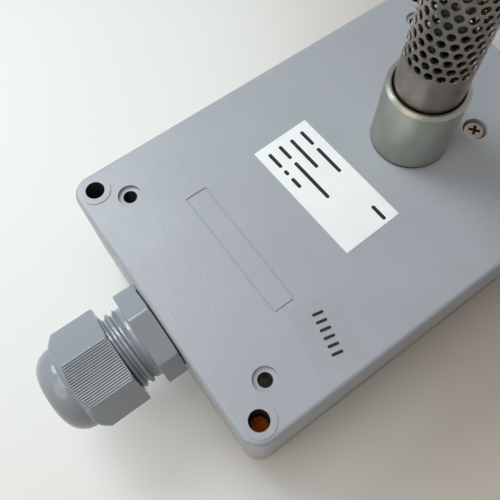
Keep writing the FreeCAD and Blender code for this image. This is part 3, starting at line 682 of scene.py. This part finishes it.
def board_finish(name, base):
    """Solder mask over copper: straight tracks show as slightly lighter, raised strips."""
    finish = Finish(name, base, roughness=0.3)
    inputs = [("Vector", finish.place), ("Scale", 260.0), ("Mortar Size", 0.03),
              ("Brick Width", 1.7), ("Row Height", 0.42)]
    tracks = finish.node("ShaderNodeTexBrick", inputs).outputs["Fac"]
    clouds = finish.clouds(scale=90.0, detail=3.0)
    tone = finish.mixed(clouds, shade(base, 0.8), shade(base, 1.25))
    finish.paint(tracks, tone, shade(base, 2.2))
    finish.bump(tracks, depth=0.00003)
    return finish


class TRANSMITTER_OT_case(bpy.types.Operator):
    """Finishes of the moulded base, the clear lid and the cord seal between them"""

    bl_idname = "transmitter.case"
    bl_label = "Case"

    def execute(self, context):
        case, colours = settings().case, settings().finish
        base = colours.case
        grain = moulded_finish("case_grain", base, roughness=0.38, grain=3200.0, depth=0.00004)
        grain.bump(grain.noise(scale=1800.0), depth=0.00005)
        # Painted shade: the walls of the corner holes and wall holes are darkened as if in deep
        # shadow
        for x, y, radius in ((case.corner_x, case.corner_y, case.corner_radius),
                             (case.wall_x, case.wall_y, case.wall_radius)):
            grain.over(grain.near_upright(x, y, radius), shade(base, 0.12))
        dress(grain.material, "housing_base")
        lid = clear_finish("clear_lid", colours.lid, roughness=0.04, alpha=0.25)
        dress(lid.material, "housing_lid")
        dress(rubber_finish("seal_cord", colours.seal).material, "lid_seal")
        return {"FINISHED"}


class TRANSMITTER_OT_sleeve(bpy.types.Operator):
    """Satin sleeve with a broken edge, and the ring nut that holds it"""

    bl_idname = "transmitter.sleeve"
    bl_label = "Sleeve"

    def execute(self, context):
        sleeve, tube = settings().sleeve, settings().tube
        low, high = span("probe_sleeve", 2)
        rear = low + sleeve.neck_length
        outer, neck, bore = sleeve.radius, sleeve.neck_radius, sleeve.bore
        mouth = tube.radius + sleeve.play
        foot, rim, lip = sleeve.foot_edge, sleeve.rim_edge, sleeve.mouth_edge
        corners = [(bore, low), (neck, low), (neck, rear), (outer - foot, rear),
                   (outer, rear + foot), (outer, high - rim), (outer - rim, high),
                   (mouth + lip, high), (mouth, high - lip), (mouth, tube.foot),
                   (bore, tube.foot)]
        points, faces = turned_upright(softened(corners, sleeve.rounding), segments=160)
        piece = add_piece("sleeve_skin", points, faces, HOUSING)
        base = settings().finish.sleeve
        satin = metal_finish("satin_sleeve", base, roughness=0.36, marks=(900.0, 900.0, 2600.0),
                             depth=0.000004)
        seam = rear + sleeve.seam
        # Painted contact shadow: a dark band round the sleeve's foot, just above the rear face
        satin.over(satin.level(seam + 2 * LEVEL_FADE, seam), shade(base, 0.2))
        # Painted shade: the rim's chamfer and top face are darkened to tone down their highlight
        satin.over(satin.level(high - rim, high - rim + LEVEL_FADE), shade(base, 0.68))
        finish_piece(piece, satin.material, "sleeve_metal", "probe_sleeve")
        dress(satin.material, "sleeve_nut")
        return {"FINISHED"}


class TRANSMITTER_OT_filter_tube(bpy.types.Operator):
    """Perforated tube: round holes with rolled edges in staggered rows"""

    bl_idname = "transmitter.filter_tube"
    bl_label = "Filter tube"

    def hole_cells(self, tube):
        """Rings of points round every hole, from the cell's border on the outside to the inside.

        Ring j of a cell is (1 - b_j) circle + b_j border, where the circle has the ring's radius
        and the border is the cell's rectangle, and it lies at the ring's depth in the wall. Along
        the border, each coordinate is a triangle wave of the turn in eighths, cut off at the
        corners.
        """
        sides = tube.hole_sides
        turn = np.arange(sides) / sides * 8 - 1
        side_x = np.clip(np.abs(np.mod(turn + 4.0, 8.0) - 4.0) - 2.0, -1.0, 1.0)
        side_y = np.clip(np.abs(np.mod(turn + 2.0, 8.0) - 4.0) - 2.0, -1.0, 1.0)
        angle = (turn + 1.0) * np.pi / 4
        cell = 2 * np.pi / tube.holes
        border = np.stack([-side_x * cell * tube.radius / 2, -side_y * tube.row_pitch / 2], axis=-1)
        circle = np.stack([np.cos(angle), np.sin(angle)], axis=-1)
        hole, lip, wall = tube.hole_radius, tube.lip, tube.wall
        # Each ring: share of the border, radius, depth in the wall
        rings = np.array([(1.0, hole, 0.0), (0.45, hole + lip, 0.0), (0.0, hole + lip, 0.0),
                          (0.0, hole + 0.3 * lip, 0.35 * lip), (0.0, hole, 1.1 * lip),
                          (0.0, hole, wall), (1.0, hole, wall)])
        share, size, depth = rings[:, 0, None, None], rings[:, 1, None, None], rings[:, 2]
        flat = (1 - share) * circle * size + share * border
        row = np.arange(tube.rows)[:, None, None, None]
        column = np.arange(tube.holes)[None, :, None, None]
        around = tube.hole_turn + (column + 0.5 * (row % 2)) * cell + flat[..., 0] / tube.radius
        height = tube.first_row + row * tube.row_pitch + flat[..., 1]
        points = on_probe(tube.radius - depth[:, None], around, height)
        faces = ring_quads(len(rings), sides)
        shift = np.arange(tube.rows * tube.holes)[:, None, None] * len(rings) * sides
        return points.reshape(-1, 3), (faces[None] + shift).reshape(-1, 4)

    def plain_band(self, tube, border, end):
        """Plain end of the tube: the wall's outside from the holes to the rim, and back inside."""
        columns = tube.holes * tube.hole_sides // 4
        outer, inner, edge = tube.radius, tube.radius - tube.wall, tube.end_edge
        short = end - np.sign(end - border) * edge
        rows = np.array([(outer, border), (outer, (border + end) / 2), (outer, short),
                         (outer - edge, end), (inner + edge, end), (inner, short), (inner, border)])
        cell = 2 * np.pi / tube.holes
        around = (np.arange(columns) / columns * tube.holes - 0.5) * cell + tube.hole_turn
        points = on_probe(rows[:, 0, None], around, rows[:, 1, None])
        faces = ring_quads(len(rows), columns)
        return points.reshape(-1, 3), faces if end < border else faces[:, ::-1]

    def execute(self, context):
        tube = settings().tube
        lower = tube.first_row - tube.row_pitch / 2
        upper = tube.first_row + (tube.rows - 0.5) * tube.row_pitch
        parts = [self.hole_cells(tube), self.plain_band(tube, lower, tube.foot),
                 self.plain_band(tube, upper, tube.top)]
        points = np.concatenate([part[0] for part in parts])
        starts = np.cumsum([0] + [len(part[0]) for part in parts[:-1]])
        faces = np.concatenate([part[1] + start for part, start in zip(parts, starts)])
        _, first, same = np.unique(np.round(points * MERGE_SCALE).astype(np.int64), axis=0,
                                   return_index=True, return_inverse=True)
        points = points[first]
        skin = add_piece("filter_tube_skin", points, same.reshape(-1)[faces], HOUSING)
        # Share of the way into the wall, kept on the mesh for the painted shade inside the tube
        from_axis = np.hypot(points[:, 0] - tube.axis_x, points[:, 1] - tube.axis_y)
        depth = (tube.radius - from_axis) / tube.wall
        inside = smooth_step(0.1, 0.9, depth)
        skin.data.attributes.new("inside", "FLOAT", "POINT").data.foreach_set("value", inside)
        base = settings().finish.tube
        steel = metal_finish("tube_steel", base, roughness=0.28, marks=(300.0, 300.0, 12.0),
                             depth=0.000002)
        stains = steel.ranged(steel.noise(scale=240.0, detail=4.0), 0.5, 0.72)
        steel.over(stains, shade(base, 0.6))
        # Painted shade on the tube's inside and the deeper walls of its holes
        steel.over(steel.attribute("inside"), shade(base, 0.2))
        finish_piece(skin, steel.material, "tube_steel", "filter_tube")
        return {"FINISHED"}


class TRANSMITTER_OT_filter_cap(bpy.types.Operator):
    """Turned plug in the tube's end"""

    bl_idname = "transmitter.filter_cap"
    bl_label = "Filter cap"

    def execute(self, context):
        tube = settings().tube
        low, high = span("filter_cap", 2)
        spigot = tube.radius - tube.wall - tube.plug_play
        centre, fine = tube.plug_centre, tube.plug_fine
        corners = [(centre, low), (spigot, low), (spigot, tube.top), (tube.radius, tube.top),
                   (tube.radius, high), (centre, high)]
        reaches = (fine, tube.plug_lead, fine, tube.plug_seat, tube.plug_edge, fine)
        points, faces = turned_upright(softened(corners, reaches, steps=9), segments=128)
        cap = add_piece("filter_cap_skin", points, faces, HOUSING)
        steel = metal_finish("cap_steel", settings().finish.tube, roughness=0.34,
                             marks=(1400.0, 1400.0, 1400.0), depth=0.000004)
        finish_piece(cap, steel.material, "tube_steel", "filter_cap")
        return {"FINISHED"}


class TRANSMITTER_OT_gland_body(bpy.types.Operator):
    """Body of the gland: hexagon with turned shoulders, and a thread on both sides"""

    bl_idname = "transmitter.gland_body"
    bl_label = "Gland body"

    def turned_rows(self, gland, wall, inner_end, outer_end):
        """Rows of (along, radius) of the turned body, from the entry to the cup.

        The counts are the steps into which each straight part is cut.
        """
        hex_in, hex_out = wall - gland.body_start, wall - gland.body_end
        neck_end = hex_out - gland.neck_length
        cup_end = outer_end + gland.cup_depth
        entry, crest, neck = gland.entry_radius, gland.thread_radius, gland.neck_radius
        corner, shoulder = gland.body_corner, gland.body_shoulder
        edge, fillet = gland.body_edge, gland.neck_fillet
        cup, cup_edge = gland.cup_radius, gland.cup_edge
        points = [
            (inner_end, gland.body_bore), (inner_end, entry - edge), (inner_end - edge, entry),
            (wall + gland.entry_plain, entry), (hex_in, entry),
            (hex_in, shoulder), (hex_in - edge, corner), (hex_out + edge, corner),
            (hex_out, shoulder), (hex_out, neck + fillet), (hex_out - fillet, neck),
            (neck_end, neck), (neck_end - edge, crest), (outer_end + gland.thread_lead, crest),
            (outer_end, crest - gland.thread_drop), (outer_end, cup + cup_edge),
            (outer_end + cup_edge, cup), (cup_end, cup), (cup_end, gland.body_bore)]
        counts = (3, 4, 70, 4, 6, 8, 6, 8, 8, 4, 2, 4, 130, 4, 2, 2, 4, 3)
        return spaced(points, counts)

    def execute(self, context):
        """The radius is the smaller of the hexagon's and the turned body's, less its threads."""
        gland = settings().gland
        segments = 240
        outer_end, inner_end = span("gland_body", 0)
        wall = span("housing_base", 0)[0]
        rows = self.turned_rows(gland, wall, inner_end, outer_end)
        along, limit = rows[:, 0, None], rows[:, 1, None]
        angle = np.linspace(0.0, 2 * np.pi, segments, endpoint=False)[None, :] + gland.body_turn
        neck_end = wall - gland.body_end - gland.neck_length
        plain_end = wall + gland.entry_plain
        fade, rise = gland.thread_fade, gland.thread_rise
        outside = limit > gland.cup_radius + gland.cup_edge
        nut_side = (smooth_step(neck_end, neck_end - fade, along)
                    * smooth_step(outer_end, outer_end + rise, along) * outside)
        wall_side = (smooth_step(plain_end, plain_end + rise, along)
                     * smooth_step(inner_end, inner_end - fade, along) * outside)
        relief = (gland.thread_depth * nut_side
                  * (1 - thread_height(along, angle, gland.thread_pitch))
                  + gland.entry_depth * wall_side
                  * (1 - thread_height(along, angle, gland.entry_pitch)))
        hexagon = flats_radius(angle, gland.body_flat, gland.body_flat, gland.body_turn,
                               gland.body_blend)
        radius = soft_min(hexagon, limit - relief, gland.soft_edge)
        points = about_gland(along, radius, angle)
        faces = ring_quads(len(rows), segments, closed=True)
        body = add_piece("gland_body_skin", points, faces, HOUSING)
        satin = moulded_finish("gland_satin", settings().finish.gland, roughness=0.12,
                               grain=2600.0, depth=0.000001, speck=0.05)
        finish_piece(body, satin.material, "gland_plastic", "gland_body")
        return {"FINISHED"}


class TRANSMITTER_OT_gland_nut(bpy.types.Operator):
    """Dome nut: ribbed and plain flats that run out in scallops into a round dome"""

    bl_idname = "transmitter.gland_nut"
    bl_label = "Gland nut"

    def around(self, gland):
        """Angles round the nut, close together at the grooves, and the groove depth at each.

        A rib is half an ellipse: at a share t of the way from its crest to the groove it lies
        1 - sqrt(1 - t^2) of the groove's depth below the flat. A point at a distance a from the
        middle of a flat, which is d from the axis, lies at the angle arctan(a / d).
        """
        ribbed_half = (2 * gland.plain_flat - gland.ribbed_flat) / np.sqrt(3)
        plain_half = (2 * gland.ribbed_flat - gland.plain_flat) / np.sqrt(3)
        middle = (np.arange(gland.rib_grooves) - (gland.rib_grooves - 1) / 2) * gland.rib_pitch
        # Points across a groove, as shares of the pitch: the next crest is at 0.5
        step = np.array([-0.38, -0.22, -0.1, -0.03, 0.0, 0.03, 0.1, 0.22, 0.38, 0.5])
        depths = gland.rib_depth * (1 - np.sqrt(1 - (1 - 2 * np.abs(step)) ** 2))
        ribbed = (middle[:, None] + step * gland.rib_pitch).ravel()
        # Points close to the corners, as shares of half a flat
        edge = ribbed_half * np.array([0.985, 0.993])
        ribbed = np.concatenate([[-ribbed_half], -edge[::-1], ribbed, edge])
        grooves = np.tile(depths, gland.rib_grooves)
        ribbed_depth = np.concatenate([np.zeros(3), grooves, np.zeros(2)])
        edge = plain_half * np.array([0.955, 0.972, 0.985, 0.994])
        plain = np.concatenate([[-plain_half], -edge[::-1],
                                np.linspace(-0.93, 0.93, 15) * plain_half, edge])
        flats = [(plain, 0 * plain, gland.plain_flat),
                 (ribbed, ribbed_depth, gland.ribbed_flat)] * 3
        first = gland.nut_turn + np.pi / 6
        angle = np.concatenate([first + np.pi / 3 * face + np.arctan2(across, flat)
                                for face, (across, _, flat) in enumerate(flats)])
        return angle, np.concatenate([depth for _, depth, _ in flats])

    def turned_rows(self, gland, start, end):
        """Rows of (along, radius): outside of the hexagon, round arc of the dome, and inside."""
        arc_steps = 26
        hex_end = start - gland.nut_length
        bore = gland.thread_radius + gland.nut_play
        dome, dome_round, mouth = gland.dome_radius, gland.dome_round, gland.mouth
        edge, corner = gland.nut_edge, gland.nut_corner
        last = np.arccos((mouth + edge - (dome - dome_round)) / dome_round)
        sweep = np.linspace(0.0, last, arc_steps)
        arc = np.stack([hex_end - dome_round * np.sin(sweep),
                        dome - dome_round + dome_round * np.cos(sweep)], axis=1)
        outside = spaced([(start, bore + gland.nut_play), (start, gland.nut_shoulder),
                          (start - edge, corner), (hex_end + gland.scallop, corner),
                          (hex_end, dome)], (6, 8, 16, 34))
        inside = spaced([(end + gland.mouth_drop, mouth + gland.mouth_lip), (end + edge, mouth),
                         (hex_end + gland.cone_end, bore), (start - gland.nut_play, bore)],
                        (3, 8, 6))
        return np.concatenate([outside, arc[1:], inside]), len(outside)

    def execute(self, context):
        """The radius is the smaller of the hexagon's, less its grooves, and the outline's."""
        gland = settings().gland
        end, start = span("gland_nut", 0)
        rows, outside = self.turned_rows(gland, start, end)
        along, limit = rows[:, 0, None], rows[:, 1, None]
        angle, depth = self.around(gland)
        shown = (smooth_step(start, start - gland.thread_fade, along)
                 * (np.arange(len(rows)) < outside)[:, None])
        hexagon = flats_radius(angle, gland.plain_flat, gland.ribbed_flat, gland.nut_turn,
                               gland.nut_blend)
        radius = soft_min(hexagon - depth * shown, limit, gland.soft_edge)
        points = about_gland(along, radius, angle[None, :])
        faces = ring_quads(len(rows), len(angle), closed=True)
        nut = add_piece("gland_nut_skin", points, faces, GLAND_CAP)
        finish_piece(nut, bpy.data.materials["gland_satin"], "gland_plastic", "gland_nut")
        return {"FINISHED"}


class TRANSMITTER_OT_gland_inner(bpy.types.Operator):
    """Finishes of the gland's washer, locknut, claw and seal"""

    bl_idname = "transmitter.gland_inner"
    bl_label = "Gland inner parts"

    def execute(self, context):
        dress(bpy.data.materials["gland_satin"], "gland_locknut", "gland_claw")
        rubber = rubber_finish("gland_rubber", settings().finish.gland_rubber)
        dress(rubber.material, "gland_washer", "gland_seal")
        return {"FINISHED"}


class TRANSMITTER_OT_label(bpy.types.Operator):
    """White label with plain dark bars"""

    bl_idname = "transmitter.label"
    bl_label = "Label"

    def execute(self, context):
        sheet, colours = settings().sheet, settings().finish
        dress(paper_finish("label_paper", colours.label).material, "rating_label")
        across, first, last = (np.array(LABEL_BARS_MM) * MILLIMETRE).T
        middle, width = (first + last) / 2, 0 * across + sheet.bar
        places = np.stack([across, middle, width, first - last], axis=1)
        top = span("rating_label", 2)[1]
        points, faces = sheets(places, sheet.bar_corner, top, top + sheet.ink, sheet.label_x,
                               sheet.label_y, sheet.label_turn)
        piece = add_piece("label_print", points, faces, HOUSING)
        finish_piece(piece, ink_finish("print_ink", colours.ink).material, "label_paper")
        return {"FINISHED"}


class TRANSMITTER_OT_film(bpy.types.Operator):
    """Clear film with a row of short plain bars"""

    bl_idname = "transmitter.film"
    bl_label = "Film"

    def execute(self, context):
        sheet = settings().sheet
        low, high = span("clear_sticker", 2)
        place = (sheet.film_x, sheet.film_y, sheet.film_turn)
        points, faces = sheets([(0.0, 0.0, sheet.film_width, sheet.film_length)],
                               sheet.film_corner, low + sheet.film_gap, high, *place)
        film = add_piece("film_skin", points, faces, HOUSING)
        clear = clear_finish("clear_film", settings().finish.film, roughness=0.2, alpha=0.1)
        finish_piece(film, clear.material, "sticker_film", "clear_sticker")
        along = ((sheet.film_bars - 1) / 2 - np.arange(sheet.film_bars)) * sheet.film_pitch
        places = np.stack([0 * along, along, 0 * along + sheet.film_bar_length,
                           0 * along + sheet.film_bar], axis=1)
        points, faces = sheets(places, sheet.film_bar_corner, high, high + sheet.ink, *place)
        piece = add_piece("film_print", points, faces, HOUSING)
        finish_piece(piece, bpy.data.materials["print_ink"], "sticker_film")
        return {"FINISHED"}


class TRANSMITTER_OT_screws(bpy.types.Operator):
    """Finishes of the lid screws, the cross-recess screws and the spacers"""

    bl_idname = "transmitter.screws"
    bl_label = "Screws"

    def execute(self, context):
        case, colours = settings().case, settings().finish
        base = colours.screw
        steel = {"roughness": 0.42, "marks": (1800.0, 1800.0, 1800.0), "depth": 0.000008}
        heads = metal_finish("screw_head", base, **steel)
        # Painted shade in the cross recess of the rear screws
        top = span("rear_screws", 2)[1] - LEVEL_FADE
        recess = heads.both(heads.near_upright(case.screw_x, case.screw_y, case.recess),
                            heads.level(top, top - LEVEL_FADE))
        heads.over(recess, shade(base, 0.16))
        dress(heads.material, "rear_screws")
        plain = metal_finish("screw_steel", base, **steel)
        dress(plain.material, "board_screws", "terminal_screws")
        ends = metal_finish("screw_end", colours.screw_end, roughness=0.5,
                            marks=(900.0, 900.0, 900.0), depth=0.00002)
        dress(ends.material, "lid_screws")
        brass = metal_finish("spacer_brass", colours.spacer, roughness=0.34,
                             marks=(1500.0, 1500.0, 200.0), depth=0.000004)
        dress(brass.material, "board_spacers")
        return {"FINISHED"}


class TRANSMITTER_OT_electronics(bpy.types.Operator):
    """Finishes of the boards, socket, terminals, capacitors, chips and sensors"""

    bl_idname = "transmitter.electronics"
    bl_label = "Electronics"

    def execute(self, context):
        colours = settings().finish
        board = board_finish("board_mask", colours.board)
        dress(board.material, "main_board", "sensor_carrier")
        mouldings = (
            ("black_moulding", colours.black, 0.45, 2600.0, 0.00001,
             ("sensor_socket", "circuit_chips", "temperature_sensor")),
            ("terminal_moulding", colours.terminal, 0.4, 1800.0, 0.000008, ("terminal_block",)),
            ("sensor_white", colours.white, 0.5, 2600.0, 0.000006, ("humidity_sensor",)),
            ("capacitor_wrap", colours.capacitor, 0.3, 1500.0, 0.000004, ("capacitors",)),
        )
        for name, base, roughness, grain, depth, nodes in mouldings:
            dress(moulded_finish(name, base, roughness, grain, depth).material, *nodes)
        return {"FINISHED"}


class TRANSMITTER_OT_stage(bpy.types.Operator):
    """Floor, soft light, lamps and the camera at the photograph's angle"""

    bl_idname = "transmitter.stage"
    bl_label = "Stage"

    def beside_case(self, finish, reach):
        """0 under the case and 1 beyond a reach from its sides.

        The distance outside is the larger of |x| - half length and |y| - half width.
        """
        halves = (span("housing_base", 0)[1], span("housing_base", 1)[1], 0.0)
        folded = finish.vector("ABSOLUTE", "Vector", finish.place)
        past = finish.vector("SUBTRACT", "Vector", folded, halves)
        parts = finish.node("ShaderNodeSeparateXYZ", [(0, past)]).outputs
        outside = finish.math("MAXIMUM", parts["X"], parts["Y"])
        return finish.ranged(outside, 0.0, reach, run="SMOOTHSTEP")

    def floor_finish(self, stage):
        """Pale floor with painted shade on one side, that fades into the backdrop farther out.

        The eye, mirrors and glass see a share of glow on it: the larger of the fade and of a small
        painted light lift on the open bright side.
        """
        colours = settings().finish
        base = colours.floor
        finish = Finish("floor_white", base, roughness=0.6, specular=0.2)
        far = finish.ranged(finish.vector("LENGTH", "Value", finish.place), stage.floor_near,
                            stage.floor_far, run="SMOOTHSTEP")
        along = finish.vector("DOT_PRODUCT", "Value", finish.place, stage.floor_bright)
        drift = finish.ranged(along, -stage.floor_drift, stage.floor_drift, run="SMOOTHSTEP")
        pale = finish.mixed(finish.noise(scale=3.0), shade(base, 0.98), shade(base, 1.02))
        # Painted shade: a dimmer, warmer floor colour on the side away from the lamps
        finish.paint(drift, colours.floor_dim, pale)
        tint = finish.mixed(far, colours.floor_glow, colours.backdrop)
        glow = finish.node("ShaderNodeEmission", [("Color", tint)])
        # Painted light: a lift of glow on the open bright side of the floor
        lift = finish.both(finish.both(drift, stage.floor_lift),
                           self.beside_case(finish, stage.floor_open))
        share = finish.both(finish.math("MAXIMUM", far, lift), seen_rays(finish.tree))
        joined_surface(finish.tree, share, finish.shader.outputs["BSDF"], glow.outputs["Emission"],
                       "Material Output")
        finish.material.cycles.emission_sampling = "NONE"
        return finish

    def floor(self, stage):
        """Square floor just under the part."""
        edge = np.array([-stage.floor_reach, stage.floor_reach])
        x, y = np.meshgrid(edge, edge, indexing="ij")
        points = np.stack([x, y, 0 * x - stage.floor_gap], axis=-1).reshape(-1, 3)
        mesh = bpy.data.meshes.new("floor")
        mesh.from_pydata(points, [], [(0, 2, 3, 1)])
        floor = bpy.data.objects.new("floor", mesh)
        bpy.context.scene.collection.objects.link(floor)
        mesh.materials.append(self.floor_finish(stage).material)

    def sky(self, stage):
        """Warm overhead light that fades toward the horizon, and the pale backdrop that is seen."""
        colours = settings().finish
        world = bpy.data.worlds.new("sky")
        bpy.context.scene.world = world
        world.use_nodes = True
        tree = world.node_tree
        way = add_node(tree, "ShaderNodeTexCoord").outputs["Generated"]
        slope = add_node(tree, "ShaderNodeVectorMath", [(0, way), (1, stage.sky_way)],
                         operation="DOT_PRODUCT").outputs["Value"]
        ramp = add_node(tree, "ShaderNodeValToRGB", [("Fac", slope)])
        for element, tint in zip(ramp.color_ramp.elements, (colours.sky_low, colours.sky_high)):
            element.color = (*tint, 1.0)
        soft = tree.nodes["Background"]
        tree.links.new(ramp.outputs["Color"], soft.inputs["Color"])
        soft.inputs["Strength"].default_value = stage.sky
        backdrop = add_node(tree, "ShaderNodeBackground", [("Color", (*colours.backdrop, 1.0))])
        joined_surface(tree, seen_rays(tree), soft.outputs["Background"],
                       backdrop.outputs["Background"], "World Output")

    def lamp(self, name, place, target, size, power, tint):
        """Round lamp at a place, turned to a target."""
        data = bpy.data.lights.new(name, "AREA")
        data.shape = "DISK"
        data.size = size
        data.energy = power
        data.color = tint
        lamp = bpy.data.objects.new(name, data)
        lamp.location = place
        lamp.rotation_euler = (Vector(target) - Vector(place)).to_track_quat("-Z", "Y").to_euler()
        bpy.context.scene.collection.objects.link(lamp)

    def camera(self, stage):
        """Camera whose axes are the right side, the up side and the way it looks, turned round."""
        data = bpy.data.cameras.new("camera")
        data.sensor_fit = "HORIZONTAL"
        data.sensor_width = SENSOR_WIDTH_MM
        data.lens = stage.lens
        data.clip_start = stage.clip_start
        camera = bpy.data.objects.new("camera", data)
        look = Vector(stage.look).normalized()
        right = Vector(stage.right)
        right = (right - look * right.dot(look)).normalized()
        up = right.cross(look)
        turn = Matrix((right, up, -look)).transposed().to_4x4()
        camera.matrix_world = Matrix.Translation(Vector(stage.eye)) @ turn
        bpy.context.scene.collection.objects.link(camera)
        bpy.context.scene.camera = camera

    def execute(self, context):
        stage = settings().stage
        self.floor(stage)
        self.sky(stage)
        for name, place, target, size, share, tint in LAMPS:
            self.lamp(name, place, target, size, share * stage.lamp_power, tint)
        self.camera(stage)
        bpy.context.scene.view_settings.view_transform = "Standard"
        return {"FINISHED"}


OPERATORS = (
    TRANSMITTER_OT_case, TRANSMITTER_OT_sleeve, TRANSMITTER_OT_filter_tube,
    TRANSMITTER_OT_filter_cap, TRANSMITTER_OT_gland_body, TRANSMITTER_OT_gland_nut,
    TRANSMITTER_OT_gland_inner, TRANSMITTER_OT_label, TRANSMITTER_OT_film, TRANSMITTER_OT_screws,
    TRANSMITTER_OT_electronics, TRANSMITTER_OT_stage,
)


class TRANSMITTER_PT_panel(bpy.types.Panel):
    """Lists the operators in the order that they are run."""

    bl_idname = "TRANSMITTER_PT_panel"
    bl_label = "Transmitter"
    bl_space_type = "VIEW_3D"
    bl_region_type = "UI"
    bl_category = "Transmitter"

    def draw(self, context):
        for operator in OPERATORS:
            self.layout.operator(operator.bl_idname)


CLASSES = (CaseSizes, SleeveSizes, TubeSizes, GlandSizes, SheetSizes, FinishColours, StageSizes,
           TransmitterSettings, *OPERATORS, TRANSMITTER_PT_panel)


def register():
    """Registers the classes and puts the settings on the scene."""
    for item in CLASSES:
        bpy.utils.register_class(item)
    bpy.types.Scene.transmitter = PointerProperty(type=TransmitterSettings)


def unregister():
    """Takes the settings off the scene and the classes out again."""
    del bpy.types.Scene.transmitter
    for item in reversed(CLASSES):
        bpy.utils.unregister_class(item)


def main():
    """Builds every piece and the stage."""
    register()
    for operator in OPERATORS:
        group, name = operator.bl_idname.split(".")
        getattr(getattr(bpy.ops, group), name)()


if __name__ == "__main__":
    main()
